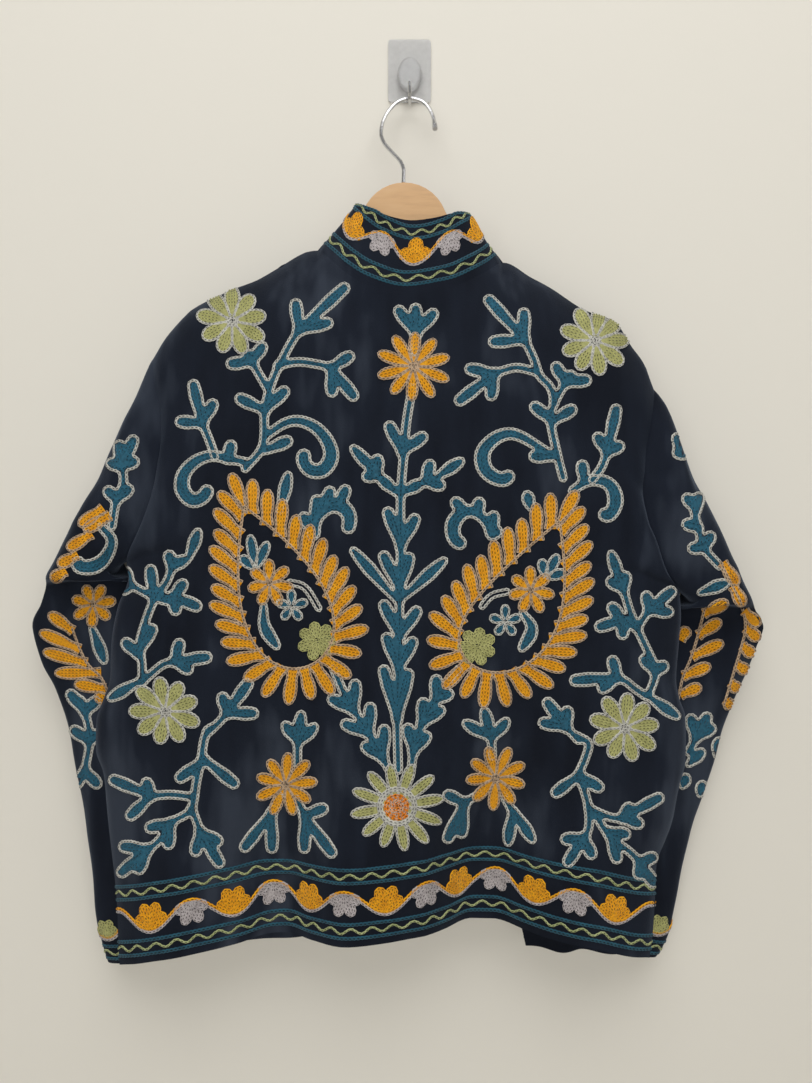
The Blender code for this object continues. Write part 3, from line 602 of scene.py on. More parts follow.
def sleeve_grid(rings, back_edge, front_edge):
    """The sleeve as closed rings, the first on the armhole of the back and the front."""
    armhole = np.array(list(back_edge[::-1]) + list(front_edge[1:-1]))
    turns = 2 * math.pi * np.arange(len(armhole)) / len(armhole)
    tip, underarm = back_edge[0], back_edge[-1]
    flat = Ring(underarm[0], underarm[2], -underarm[1], tip[0], tip[2], -tip[1],
                ARMHOLE_FACE, ARMHOLE_WALL, 0)
    rest = armhole - np.array([ring_point(flat, turn) for turn in turns])
    places = range(len(rings) + 1)
    ways = curves(places, [flat, *rings]).values()
    memory = [1] + ARMHOLE_MEMORY + [0] * (len(rings) - len(ARMHOLE_MEMORY))
    keep = smooth(places, memory)
    grid = []
    for place in np.linspace(0, len(rings), RING_STEPS * len(rings) + 1):
        ring = Ring(*[way(place) for way in ways])
        grid.append([ring_point(ring, turn) for turn in turns] + keep(place) * rest)
    grid[0] = armhole
    return np.array(grid)


rows = ARM_ROWS + 1
# name: grid, whether its columns close into a ring, which way its cells face
GRIDS = {
    "back": (back, False, 1),
    "front_left": (left_front, False, -1),
    "front_right": (right_front, False, 1),
    "collar": (collar_grid(back, left_front, right_front), False, -1),
    "sleeve_left": (sleeve_grid(LEFT_SLEEVE, back[:rows, 0], left_front[:rows, 0]), True, -1),
    "sleeve_right": (sleeve_grid(RIGHT_SLEEVE, back[:rows, -1], right_front[:rows, 0]), True, 1),
}
print({name: row[0].shape[:2] for name, row in GRIDS.items()})

# %% [markdown]
# ## Normals shared across the seams
# The pieces are separate objects, yet the cloth turns smoothly over each seam. So the points that
# pieces share get one normal from all the cells round them.


# %% Normals
def corner_sums(grid, closed, sign):
    """The outward normals of the cells round each grid point, added up."""
    here = grid if closed else grid[:, :-1]
    next_one = np.roll(grid, -1, axis=1) if closed else grid[:, 1:]
    normal = sign * np.cross(next_one[1:] - here[:-1], next_one[:-1] - here[1:])
    sums = np.zeros_like(grid)
    if closed:
        for part in (normal, np.roll(normal, 1, axis=1)):
            sums[:-1] += part
            sums[1:] += part
    else:
        for span in (slice(None, -1), slice(1, None)):
            sums[:-1, span] += normal
            sums[1:, span] += normal
    return sums


def shared_normals(pieces):
    """Outward normals at every grid point, the same on both sides of each seam."""
    points = np.concatenate([grid.reshape(-1, 3) for grid, closed, sign in pieces.values()])
    sums = np.concatenate([corner_sums(*row).reshape(-1, 3) for row in pieces.values()])
    spots, where = np.unique(np.round(points, 3), axis=0, return_inverse=True)
    where = where.reshape(-1)
    joined = np.zeros_like(spots)
    np.add.at(joined, where, sums)
    joined /= np.linalg.norm(joined, axis=1)[:, None] + 1e-9
    normals = joined[where]
    out = {}
    start = 0
    for name, (grid, closed, sign) in pieces.items():
        count = grid.shape[0] * grid.shape[1]
        out[name] = normals[start:start + count].reshape(grid.shape)
        start += count
    return out


SMOOTH = shared_normals(GRIDS)
print("normals", sum(normals.shape[0] * normals.shape[1] for normals in SMOOTH.values()))

# %% [markdown]
# ## Creases
# Velvet hangs in soft troughs and ridges. Each row is one of them, given as where it starts
# and ends, how far it bows sideways, how wide it is and how far it stands out (or in, below zero).
# The face side follows the photograph, and the wall side, which it hides, has similar ones.

# %% Crease table
Crease = namedtuple("Crease", "side x z to_x to_z bow width depth")
FACE = -1
WALL = 1
# x, z, to_x, to_z, bow, width and depth of each
FACE_CREASES = [
    (-40, -255, -36, -580, 4, 12, -2.0), (-24, -330, -20, -700, 3, 9, 1.2),
    (-192, -400, -196, -600, 5, 10, -1.8), (-176, -420, -183, -680, -4, 13, 1.4),
    (-150, -250, -196, -420, -8, 11, -1.6), (120, -262, 186, -440, 9, 12, -1.7),
    (60, -300, 74, -520, -5, 12, 1.2), (190, -360, 203, -520, 4, 10, 1.5),
    (185, -388, 212, -450, -12, 7, -2.2), (212, -450, 216, -490, 5, 7, 2.4),
    (205, -400, 235, -394, -3, 6, -2.0), (-236, -468, -208, -500, 4, 7, -2.6),
    (-238, -486, -206, -530, 5, 9, 2.0), (150, -600, 168, -760, 4, 12, -1.8),
    (-70, -560, -112, -790, -6, 13, -2.2), (100, -560, 64, -780, 5, 14, -2.2),
    (18, -600, 8, -780, -3, 10, 1.4), (-240, -620, -232, -800, 3, 10, 1.5),
    (-262, -330, -284, -430, -5, 8, -2.0), (-246, -350, -262, -455, 4, 8, 1.8),
    (-300, -430, -262, -468, 5, 7, 1.8), (-318, -476, -258, -462, 4, 6, -2.0),
    (250, -352, 270, -430, 5, 8, -2.0), (236, -372, 250, -460, -4, 8, 1.8),
    (296, -470, 252, -492, -5, 7, 1.8), (300, -492, 250, -478, -4, 6, -1.8),
    (-336, -530, -270, -560, 6, 8, -2.0), (-318, -590, -300, -800, -5, 9, -1.8),
    (-296, -610, -284, -830, 4, 10, 1.6), (306, -552, 262, -580, -5, 8, -1.8),
    (286, -600, 250, -800, 5, 9, -1.8), (264, -640, 236, -820, -4, 9, 1.5)
]
WALL_CREASES = [
    (-170, -260, -190, -440, 6, 12, -1.8), (-120, -240, -112, -520, -5, 13, -1.6),
    (-205, -470, -196, -700, 4, 12, -1.8), (-90, -480, -84, -760, 4, 12, -1.6),
    (150, -262, 172, -470, -7, 12, -1.8), (96, -250, 106, -540, 5, 13, -1.6),
    (200, -500, 190, -700, -4, 12, -1.8), (150, -470, 140, -780, 5, 12, -1.6),
    (-290, -360, -282, -460, 4, 8, -1.8), (-262, -330, -258, -450, -4, 8, 1.4),
    (-330, -500, -280, -540, -5, 8, -1.8), (-250, -560, -240, -800, 5, 10, -1.7),
    (-300, -600, -276, -820, -5, 10, 1.4), (262, -380, 258, -480, -4, 8, -1.8),
    (300, -520, 250, -560, 5, 8, -1.8), (250, -590, 206, -800, -5, 10, -1.7),
    (220, -560, 170, -790, 5, 10, 1.4), (-60, -300, -52, -460, 4, 9, 1.2)
]
CREASES = [Crease(FACE, *row) for row in FACE_CREASES]
CREASES += [Crease(WALL, *row) for row in WALL_CREASES]
# Gentle unevenness everywhere: size of a wave along x and z, its start and its height
Wave = namedtuple("Wave", "x z start height")
WAVES = [Wave(170, 90, 0.6, 0.55), Wave(-95, 150, 2.1, 0.5), Wave(61, -83, 4.0, 0.3),
         Wave(-47, -58, 1.3, 0.2)]
CREASE_ENDS = 0.12       # how near its ends a crease fades out, as a share of its length
CREASE_FADE = 1.3        # and how quickly
WAVE_DEPTH = 100         # distance from the wall over which a wave shifts by half a turn


def crease_push(points, normals):
    """How far the creases and waves move each point along its normal."""
    x, z = points[..., 0], points[..., 2]
    faces = {FACE: np.clip(-2 * normals[..., 1], 0, 1), WALL: np.clip(2 * normals[..., 1], 0, 1)}
    push = np.zeros(x.shape)
    for row in CREASES:
        run = np.array((row.to_x - row.x, row.to_z - row.z), float)
        length = np.linalg.norm(run)
        run /= length
        t = ((x - row.x) * run[0] + (z - row.z) * run[1]) / length
        off = (x - row.x) * run[1] - (z - row.z) * run[0]
        near = np.clip(t, 0, 1)
        off = off - row.bow * 4 * near * (1 - near)
        past = (t - near) * length
        inner = CREASE_ENDS + (1 - 2 * CREASE_ENDS) * near
        taper = np.sin(math.pi * np.clip(inner, 0, 1)) ** CREASE_FADE
        push += faces[row.side] * row.depth * taper * np.exp(-(off ** 2 + past ** 2) / row.width ** 2)
    for row in WAVES:
        turn = 2 * math.pi * (x / row.x + z / row.z) + row.start + 3 * points[..., 1] / WAVE_DEPTH
        push += row.height * np.sin(turn)
    return push


CREASED = {}
for name, (grid, closed, sign) in GRIDS.items():
    CREASED[name] = (grid + SMOOTH[name] * crease_push(grid, SMOOTH[name])[..., None], closed, sign)
NORMALS = shared_normals(CREASED)
print("creases", len(CREASES))

# %% [markdown]
# ## Cloth walls
# Each piece is a wall of velvet with a closed rim. Its borders turn down a little, as a sewn seam
# does, so the pieces meet in a soft groove.

# %% Shells
CLOTH = 1.6              # velvet with its embroidery, wall thickness
GROOVE = (0.8, 0.25)     # how far a piece's last rows turn down at its borders
RIM_ANGLE = math.radians(60)  # edges sharper than this, as at the rims, are shaded as creases


def turn_down(grid, normals, closed):
    """The grid with its borders rounded down into the seam."""
    depth = np.zeros(grid.shape[:2])
    for k, drop in reversed(list(enumerate(GROOVE))):
        depth[[k, -1 - k]] = drop
    if not closed:
        for k, drop in reversed(list(enumerate(GROOVE))):
            depth[:, [k, -1 - k]] = np.maximum(depth[:, [k, -1 - k]], drop)
    return grid - normals * depth[..., None]


def grid_faces(rows, columns, closed, flip, start=0):
    """The grid's cells as faces, by vertex number."""
    last = columns if closed else columns - 1
    r, c = np.meshgrid(np.arange(rows - 1), np.arange(last), indexing="ij")
    n = (c + 1) % columns
    cells = np.stack((r * columns + c, (r + 1) * columns + c, (r + 1) * columns + n, r * columns + n),
                     axis=-1).reshape(-1, 4) + start
    return cells[:, ::-1] if flip else cells


def rim_faces(rows, columns, closed, flip):
    """Faces that join the outer grid's borders to the inner grid's."""
    count = rows * columns
    last = columns if closed else columns - 1
    edges = [(r * columns + c, r * columns + (c + 1) % columns, turn)
             for r, turn in ((0, 1), (rows - 1, -1)) for c in range(last)]
    if not closed:
        edges += [(r * columns + c, (r + 1) * columns + c, turn)
                  for c, turn in ((0, -1), (columns - 1, 1)) for r in range(rows - 1)]
    rims = [(here, there, there + count, here + count, turn) for here, there, turn in edges]
    return np.array([rim[:4] if rim[4] * flip > 0 else rim[3::-1] for rim in rims])


def mesh_from(name, points, faces):
    """A smooth-shaded mesh from points in millimetres."""
    mesh = bpy.data.meshes.new(name)
    mesh.from_pydata((points * MM).tolist(), [], [tuple(face) for face in faces.tolist()])
    mesh.shade_smooth()
    return mesh


OUTER = {}
for name, (grid, closed, sign) in CREASED.items():
    OUTER[name] = turn_down(grid, NORMALS[name], closed)


def shell(name):
    """A cloth wall: the outer grid, the same moved in by the cloth's thickness, and the rims."""
    closed, sign = CREASED[name][1:]
    outer = OUTER[name]
    inner = outer - NORMALS[name] * CLOTH
    rows, columns = outer.shape[:2]
    faces = [grid_faces(rows, columns, closed, sign < 0),
             grid_faces(rows, columns, closed, sign > 0, rows * columns),
             rim_faces(rows, columns, closed, sign)]
    points = np.concatenate((outer.reshape(-1, 3), inner.reshape(-1, 3)))
    mesh = mesh_from(name + "_velvet", points, np.concatenate(faces))
    mesh.set_sharp_from_angle(angle=RIM_ANGLE)
    return add_object(name + "_velvet", mesh)


# The cut of each piece before sewing: width and length in metres, and area in square metres.
# A sleeve narrows from its head to its cuff, and the back and fronts are cut away at the armholes.
Cut = namedtuple("Cut", "width length area")
CUTS = {
    "back": Cut(0.57, 0.60, 0.31), "front_left": Cut(0.27, 0.57, 0.138),
    "front_right": Cut(0.23, 0.56, 0.105), "collar": Cut(0.32, 0.070, 0.0175),
    "sleeve_left": Cut(0.31, 0.52, 0.140), "sleeve_right": Cut(0.31, 0.52, 0.132),
}


def carry(thing, node):
    """The piece moves with the whole part and takes the place of a solid."""
    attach(thing, "root")
    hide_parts(node)


velvet_pieces = {}
for name, cut in CUTS.items():
    piece = shell(name)
    velvet_pieces[name] = piece
    carry(piece, name)
print("cloth faces", {name: len(piece.data.polygons) for name, piece in velvet_pieces.items()})

# %% [markdown]
# ## Velvet
# Cotton velvet is a dense cut pile. It looks almost black straight on and turns lighter at grazing
# angles, where light catches the tips, so the sheen sits on the shader. Soft lighter patches are
# painted sheen: large soft noise lightens the base colour where the pile would catch the light, and
# the pile itself is fine noise in the bump.


# %% Velvet material
def node_group(name, inputs, outputs):
    """A shader node group with its sockets: (name, kind) for each."""
    group = bpy.data.node_groups.new(name, "ShaderNodeTree")
    for way, sockets in (("INPUT", inputs), ("OUTPUT", outputs)):
        for label, kind in sockets:
            group.interface.new_socket(label, in_out=way, socket_type="NodeSocket" + kind)
    return group, group.nodes.new("NodeGroupInput"), group.nodes.new("NodeGroupOutput")


def maths(tree, operation, *values):
    """The result of a sum in nodes; each value is a number or another node's output."""
    node = add_node(tree, "Math", operation=operation)
    for socket, value in zip(node.inputs, values):
        if isinstance(value, bpy.types.NodeSocket):
            tree.links.new(value, socket)
        else:
            socket.default_value = value
    return node.outputs[0]


def stretched(tree, vector, scale):
    """The vector scaled by a different amount along each axis."""
    node = set_inputs(add_node(tree, "Mapping"), {"Scale": scale})
    tree.links.new(vector, node.inputs["Vector"])
    return node.outputs["Vector"]


def ramp(tree, value, stops):
    """A colour ramp: (place, colour) for each stop, colours as red, green, blue."""
    node = add_node(tree, "ValToRGB")
    while len(node.color_ramp.elements) < len(stops):
        node.color_ramp.elements.new(0.5)
    for element, (place, colour) in zip(node.color_ramp.elements, stops):
        element.position = place
        element.color = (*colour, 1)
    tree.links.new(value, node.inputs["Fac"])
    return node.outputs["Color"]


def grey(value):
    return (value, value, value)


def nap_and_sheen_group():
    """Painted sheen patches and pile: a mask from 0, dark, to 1, light where the pile is painted as
    catching the light, and a bump height.
    """
    group, enter, leave = node_group("velvet_nap", [("Vector", "Vector")],
                                     [("Brushed", "Float"), ("Pile", "Float")])
    vector = enter.outputs["Vector"]
    broad = noise(group, stretched(group, vector, (1.0, 1.0, 0.45)), 11, 3, 0.55)
    streak = noise(group, stretched(group, vector, (1.0, 1.0, 0.25)), 46, 2, 0.6)
    fine = noise(group, vector, 900, 2, 0.7)
    spread = set_inputs(add_node(group, "MapRange"), {"From Min": 0.56, "From Max": 0.86})
    group.links.new(maths(group, "MULTIPLY_ADD", streak, 0.35, broad), spread.inputs["Value"])
    group.links.new(spread.outputs["Result"], leave.inputs["Brushed"])
    group.links.new(fine, leave.inputs["Pile"])
    return group


NAP_AND_SHEEN = nap_and_sheen_group()


def velvet_material():
    material, tree, shader = new_material("velvet", {
        "Roughness": 0.85, "Sheen Weight": 0.26, "Sheen Roughness": 0.4,
        "Sheen Tint": (0.46, 0.56, 0.74, 1), "Specular IOR Level": 0.15})
    nap_and_sheen = add_node(tree, "Group", node_tree=NAP_AND_SHEEN)
    tree.links.new(object_place(tree), nap_and_sheen.inputs["Vector"])
    # painted sheen: the base colour runs from near black to a lighter blue grey in soft patches
    colour = ramp(tree, nap_and_sheen.outputs["Brushed"],
                  [(0.0, (0.0032, 0.0050, 0.0105)), (0.55, (0.0068, 0.010, 0.0185)),
                   (1.0, (0.026, 0.033, 0.048))])
    tree.links.new(colour, shader.inputs["Base Color"])
    add_bump(tree, shader, nap_and_sheen.outputs["Pile"], 0.5, 0.0006)
    return material


velvet = velvet_material()
for piece in velvet_pieces.values():
    piece.data.materials.append(velvet)
print("velvet on", len(velvet_pieces), "pieces")

# %% [markdown]
# ## Laying a pattern on the cloth
# The pattern is drawn flat, and each of its points is laid on the cloth: by a ray from the viewer's
# place or from the wall side, or, for a border, by its distance along the edge and above it.

# %% Grounds for stitches
PATTERN_D = 92           # the pattern is drawn on a plane this far from the wall


def unit(vectors):
    return vectors / (np.linalg.norm(vectors, axis=1)[:, None] + 1e-9)


class Ground:
    """A piece of cloth that takes embroidery, drawn as seen from the viewer's side."""

    def __init__(self, name):
        self.name = name
        rows, columns = OUTER[name].shape[:2]
        quads = grid_faces(rows, columns, CREASED[name][1], False)
        self.faces = np.concatenate((quads[:, [0, 1, 2]], quads[:, [0, 2, 3]]))
        self.points = OUTER[name].reshape(-1, 3)
        self.normals = NORMALS[name].reshape(-1, 3)
        self.tree = BVHTree.FromPolygons(self.points.tolist(), self.faces.tolist(), all_triangles=True)

    def ray(self, place):
        start = EYE / MM
        return start, Vector((place[0], -PATTERN_D, place[1])) - start

    def lay(self, places):
        """The cloth's points and normals under pattern places (x, z), and which places hit it."""
        spots, faces = [], []
        for place in places.tolist():
            spot, _, face, _ = self.tree.ray_cast(*self.ray(place))
            spots.append(spot if spot else (0, 0, 0))
            faces.append(-1 if face is None else face)
        spots, faces = np.array(spots), np.array(faces)
        corner = self.faces[faces]
        a, b, c = (self.points[corner[:, k]] for k in range(3))
        whole = np.linalg.norm(np.cross(b - a, c - a), axis=1) + 1e-9
        share = [np.linalg.norm(np.cross(q - spots, r - spots), axis=1) / whole
                 for q, r in ((b, c), (c, a), (a, b))]
        normal = sum(self.normals[corner[:, k]] * share[k][:, None] for k in range(3))
        return spots, unit(normal), faces >= 0


class WallGround(Ground):
    """The same for the side that faces the wall: places are the x and z where the stitches lie."""

    def ray(self, place):
        return Vector((place[0], 60, place[1])), Vector((0, -1, 0))


class Strip:
    """A border along a piece's edge: places are the distance along it and the height above it."""

    def __init__(self, name, top_edge, depth, closed=False):
        self.name = name
        outer, normals = OUTER[name], NORMALS[name]
        if not top_edge:
            outer, normals = outer[::-1], normals[::-1]
        run = np.linalg.norm(np.diff(outer, axis=0), axis=2)
        self.up = np.concatenate((np.zeros((1, outer.shape[1])), np.cumsum(run, axis=0)))
        deep = self.up.min(axis=1) > depth
        keep = int(np.argmax(deep)) + 2 if deep.any() else len(deep)
        self.outer, self.normals, self.up = outer[:keep], normals[:keep], self.up[:keep]
        if closed:
            self.outer, self.normals, self.up = (
                np.concatenate((a, a[:, :1]), axis=1) for a in (self.outer, self.normals, self.up))
        middle = self.outer[keep // 2]
        self.along = run_length(middle)
        self.length = self.along[-1]

    def lay(self, places):
        columns = np.interp(places[:, 0], self.along, np.arange(len(self.along)))
        first = np.minimum(columns.astype(int), len(self.along) - 2)
        spots, normals = [], []
        for place, column, part in zip(places, first, columns - first):
            made = []
            for c in (column, column + 1):
                row = np.interp(place[1], self.up[:, c], np.arange(len(self.up)))
                r = min(int(row), len(self.up) - 2)
                made.append((mix(self.outer[r, c], self.outer[r + 1, c], row - r),
                             mix(self.normals[r, c], self.normals[r + 1, c], row - r)))
            spots.append(mix(made[0][0], made[1][0], part))
            normals.append(mix(made[0][1], made[1][1], part))
        ok = (places[:, 0] >= 0) & (places[:, 0] <= self.length)
        return np.array(spots), np.array(normals), ok


BACK = Ground("back")
print("the back takes stitches on", len(BACK.faces), "faces")

# %% [markdown]
# ## Chain stitch
# The embroidery is hooked chain stitch in thick wool: each stitch is a loop that the next one holds
# down, so a row is a soft braid with a small dark hole in every loop. Each row here is a ribbon
# with two raised strands that pinch at the joints, which gives real shadows and keeps it light.

# %% Rows of stitches
STITCH = 3.6             # length of one stitch
YARN_WIDTH = 2.9         # width of an outline row
FILL_WIDTH = 2.6         # and of the rows inside it
YARN_HEIGHT = 1.0
ROW_GAP = 2.35           # from one row to the next
# A ribbon's section: places across it, and their heights at a joint and in the middle of a loop
ACROSS = (-1.0, -0.55, 0.0, 0.55, 1.0)
JOINT_HEIGHT = (-0.15, 0.75, 0.85, 0.75, -0.15)
LOOP_HEIGHT = (-0.15, 1.0, 0.3, 1.0, -0.15)
JOINT_WIDTH = 0.76       # a joint's width as a share of the loop's
JUMP = 9.0               # a row is cut where the cloth steps away further than this

ROWS = {}                # (piece, yarn) -> its rows' points, faces and UVs
PATCHES = {}             # (piece, yarn) -> flat ground under filled shapes


def at_run(places, run, line):
    """The line's points at places along its length."""
    return np.stack([np.interp(places, run, line[:, k]) for k in range(line.shape[1])], axis=-1)


def ribbon(spots, normals, loop, width, lift):
    """Points, faces and UVs of one row of stitches along a line on the cloth."""
    if loop:
        spots, normals = (np.concatenate((a, a[:1])) for a in (spots, normals))
    run = run_length(spots)
    stitches = max(1, round(run[-1] / STITCH))
    at = np.linspace(0, run[-1], 2 * stitches + 1)
    middle = at_run(at, run, spots)
    up = unit(at_run(at, run, normals))
    ahead = np.gradient(middle, axis=0)
    if loop:
        ahead[0] = ahead[-1] = middle[1] - middle[-2]
    side = unit(np.cross(up, ahead))
    joint = np.arange(len(at)) % 2 == 0
    wide = np.where(joint, JOINT_WIDTH, 1.0) * width / 2
    high = np.where(joint[:, None], JOINT_HEIGHT, LOOP_HEIGHT) * YARN_HEIGHT + lift
    points = (middle[:, None] + side[:, None] * (wide[:, None] * ACROSS)[..., None]
              + up[:, None] * high[..., None]).reshape(-1, 3)
    count = len(ACROSS)
    i, j = np.meshgrid(np.arange(len(at) - 1), np.arange(count - 1), indexing="ij")
    faces = np.stack((i * count + j, i * count + j + 1, (i + 1) * count + j + 1, (i + 1) * count + j),
                     axis=-1).reshape(-1, 4)
    uv = np.stack(np.broadcast_arrays((np.arange(len(at)) / 2)[:, None],
                                      (np.array(ACROSS) + 1)[None] / 2), axis=-1).reshape(-1, 2)
    return points, faces, uv


def stitch(ground, yarn, line, loop=False, width=YARN_WIDTH, lift=0.0):
    """A row of chain stitches along a pattern line, cut where the cloth ends."""
    line = np.asarray(line, float)
    if len(line) < 2:
        return
    spots, normals, ok = ground.lay(line)
    step = np.linalg.norm(np.diff(spots, axis=0), axis=1)
    whole = ok.all() and step.max() < JUMP
    breaks = np.nonzero(~(ok[1:] & ok[:-1] & (step < JUMP)))[0] + 1
    parts = [range(len(line))] if whole else np.split(np.arange(len(line)), breaks)
    for part in parts:
        part = [k for k in part if ok[k]]
        if len(part) > 1:
            row = ribbon(spots[part], normals[part], loop and whole, width, lift)
            ROWS.setdefault((ground.name, yarn), []).append(row)


print("stitch", STITCH, "mm, rows", ROW_GAP, "mm apart")

# %% [markdown]
# ## Shapes from strokes
# Stems, leaves and scrolls are drawn as the embroiderer marks them out: strokes that swell and
# taper, running into each other. A distance field over the pattern joins the strokes softly. Its
# zero line is the outline, and lines further in are the rows of the filling.

# %% Fields
CELL = 1.25              # the field's step
MARGIN = 9.0             # how far the field goes past the strokes
FAR = 20.0               # its value away from them
BLEND = 3.0              # how far two strokes run together where they meet


def curve(points, step=1.6):
    """A smooth line through a few points."""
    points = np.asarray(points, float)
    if len(points) == 2:
        count = max(2, int(np.linalg.norm(points[1] - points[0]) / step))
        return np.linspace(points[0], points[1], count + 1)
    ends = np.vstack((2 * points[0] - points[1], points, 2 * points[-1] - points[-2]))
    out = [points[:1]]
    for a, b, c, d in zip(ends, ends[1:], ends[2:], ends[3:]):
        count = max(2, int(np.linalg.norm(c - b) / step))
        t = (np.arange(count) + 1)[:, None] / count
        out.append(0.5 * (2 * b + (c - a) * t + (2 * a - 5 * b + 4 * c - d) * t ** 2
                          + (3 * b - a - 3 * c + d) * t ** 3))
    return np.concatenate(out)


class Field:
    """Signed distance from the outline of joined strokes, below zero inside them."""

    def __init__(self, strokes):
        lines = np.concatenate([line for line, radii in strokes])
        self.low = lines.min(axis=0) - MARGIN
        size = ((lines.max(axis=0) + MARGIN - self.low) / CELL).astype(int) + 2
        self.xs = self.low[0] + CELL * np.arange(size[0])
        self.zs = self.low[1] + CELL * np.arange(size[1])
        self.values = np.full(size, FAR)
        self.strokes = strokes
        for line, radii in strokes:
            self.join(line, radii)

    def join(self, line, radii):
        reach = radii.max() + MARGIN - 1
        low = np.maximum(((line.min(axis=0) - reach - self.low) / CELL).astype(int), 0)
        high = ((line.max(axis=0) + reach - self.low) / CELL).astype(int) + 2
        area = (slice(low[0], high[0]), slice(low[1], high[1]))
        x, z = np.meshgrid(self.xs[area[0]], self.zs[area[1]], indexing="ij")
        near = np.full(x.shape, FAR)
        for (px, pz), radius in zip(line, radii):
            near = np.minimum(near, np.hypot(x - px, z - pz) - radius)
        here = self.values[area]
        mixed = np.clip(BLEND - np.abs(here - near), 0, None)
        self.values[area] = np.minimum(here, near) - mixed ** 2 / (4 * BLEND)

    def at(self, places):
        place = (places - self.low) / CELL
        i = np.clip(place.astype(int), 0, np.array(self.values.shape) - 2)
        f = np.clip(place - i, 0, 1)
        v = self.values
        low = mix(v[i[:, 0], i[:, 1]], v[i[:, 0] + 1, i[:, 1]], f[:, 0])
        return mix(low, mix(v[i[:, 0], i[:, 1] + 1], v[i[:, 0] + 1, i[:, 1] + 1], f[:, 0]), f[:, 1])

    def contours(self, level):
        """The field's closed lines at a level, by marching squares."""
        inside = self.values < level
        mixed = inside[:-1, :-1].astype(int) + inside[1:, :-1] + inside[1:, 1:] + inside[:-1, 1:]
        follow, spot = {}, {}
        for i, j in zip(*np.nonzero((mixed > 0) & (mixed < 4))):
            corners = ((i, j), (i + 1, j), (i + 1, j + 1), (i, j + 1))
            state = [inside[corner] for corner in corners]
            edges = [tuple(sorted((corners[k], corners[(k + 1) % 4]))) for k in range(4)]
            for k in range(4):
                if not state[k] and state[(k + 1) % 4]:
                    m = (k + 1) % 4
                    while state[(m + 1) % 4]:
                        m = (m + 1) % 4
                    follow[edges[k]] = edges[m]
                    spot[edges[k]] = self.crossing(edges[k], level)
        lines = []
        while follow:
            start = next(iter(follow))
            line, edge = [], start
            while edge in follow:
                line.append(spot[edge])
                edge = follow.pop(edge)
            lines.append(np.array(line))
        return lines

    def crossing(self, edge, level):
        (i, j), (m, n) = edge
        a, b = self.values[i, j], self.values[m, n]
        t = (level - a) / (b - a)
        return (mix(self.xs[i], self.xs[m], t), mix(self.zs[j], self.zs[n], t))


print("field cells of", CELL, "mm")

# %% [markdown]
# ## Embroidering a shape
# The outline comes first, then rows that follow it further in, then one row down the middle of each
# narrow stroke. A thin flat ground of wool lies under them, so no cloth shows between the rows.

# %% Outline, filling and ground
SHORT = 8                # a line of fewer points is too short to stitch round
OUTLINE_LIFT = 0.2       # an outline stands this much above its filling
ROW_SLACK = 0.1          # rows that follow the outline lie this much further in
THINNEST = 0.8           # a stroke thinner than this takes no middle row
PATCH_STEP = 2           # a ground takes every second place of the field
PATCH_EDGE = 0.3         # and ends this far outside the outline
PATCH_LIFT = 0.35


def soften(line):
    """A closed line with its corners rounded, in two passes."""
    for _ in range(2):
        line = (np.roll(line, 1, axis=0) + 2 * line + np.roll(line, -1, axis=0)) / 4
    return line


def patch(ground, yarn, field, lift):
    """A thin flat ground of yarn under a filled shape, so that no cloth shows between its rows."""
    values = field.values[::PATCH_STEP, ::PATCH_STEP]
    inside = values < PATCH_EDGE
    cells = inside[:-1, :-1] & inside[1:, :-1] & inside[1:, 1:] & inside[:-1, 1:]
    used = np.zeros(values.shape, bool)
    for shift in ((0, 0), (1, 0), (1, 1), (0, 1)):
        used[shift[0]:shift[0] + cells.shape[0], shift[1]:shift[1] + cells.shape[1]] |= cells
    number = np.cumsum(used.reshape(-1)).reshape(used.shape) - 1
    i, j = np.nonzero(used)
    places = np.stack((field.xs[::PATCH_STEP][i], field.zs[::PATCH_STEP][j]), axis=1)
    if not len(places):
        return
    spots, normals, ok = ground.lay(places)
    i, j = np.nonzero(cells)
    faces = np.stack((number[i, j], number[i + 1, j], number[i + 1, j + 1], number[i, j + 1]), axis=1)
    faces = faces[ok[faces].all(axis=1)]
    PATCHES.setdefault((ground.name, yarn), []).append((spots + normals * (PATCH_LIFT + lift), faces))


def embroider(ground, strokes, outline, fill, lift=0.0):
    """Outline and filling rows of joined strokes, each a line with its radii."""
    field = Field(strokes)
    for line in field.contours(0):
        if len(line) > SHORT:
            stitch(ground, outline, soften(line), True, lift=lift + OUTLINE_LIFT)
    for k in (1, 2):
        for line in field.contours(-ROW_GAP * k - ROW_SLACK):
            if len(line) > (SHORT - 1) * k:
                stitch(ground, fill, soften(line), True, FILL_WIDTH, lift)
    for line, radii in strokes:
        # a middle row where the outline, or the second row in, leaves room for just one
        depth = -field.at(line)
        narrow = (depth < ROW_GAP + 0.4) | ((depth > 1.75 * ROW_GAP) & (depth < 2.5 * ROW_GAP))
        narrow &= depth > THINNEST
        for part in np.split(np.arange(len(line)), np.nonzero(np.diff(narrow.astype(int)))[0] + 1):
            if narrow[part[0]] and len(part) > 2:
                stitch(ground, fill, line[part], False, FILL_WIDTH, lift)
    patch(ground, fill, field, lift)


STEM = 2.9               # half the width of a stem, to the middle of its outline
# Half widths along a stroke, from its start to its tip
LOBE = ((0, 3.2), (0.35, 4.0), (0.7, 5.2), (1, 4.4))
BLADE = ((0, 2.2), (0.4, 4.2), (0.62, 5.2), (0.85, 4.2), (1, 2.6))
SCROLL = ((0, 3.0), (0.35, 4.2), (0.7, 6.0), (1, 5.2))


def stroke(points, profile):
    """A stroke through the points; its outer tip lies on the last one."""
    line = curve(points)
    run = run_length(line)
    end = profile[-1][1] + YARN_WIDTH / 2
    share = run / max(run[-1] - end, 1)
    keep = share <= 1
    at, radii = zip(*profile)
    return line[keep], np.interp(share[keep], at, radii)


def stem(points):
    line = curve(points)
    return line, np.full(len(line), STEM)


def sprig(joint, tips):
    """Lobes that fan out from one joint."""
    return [stroke([joint, tip], LOBE) for tip in tips]


print("strokes run together over", BLEND, "mm")

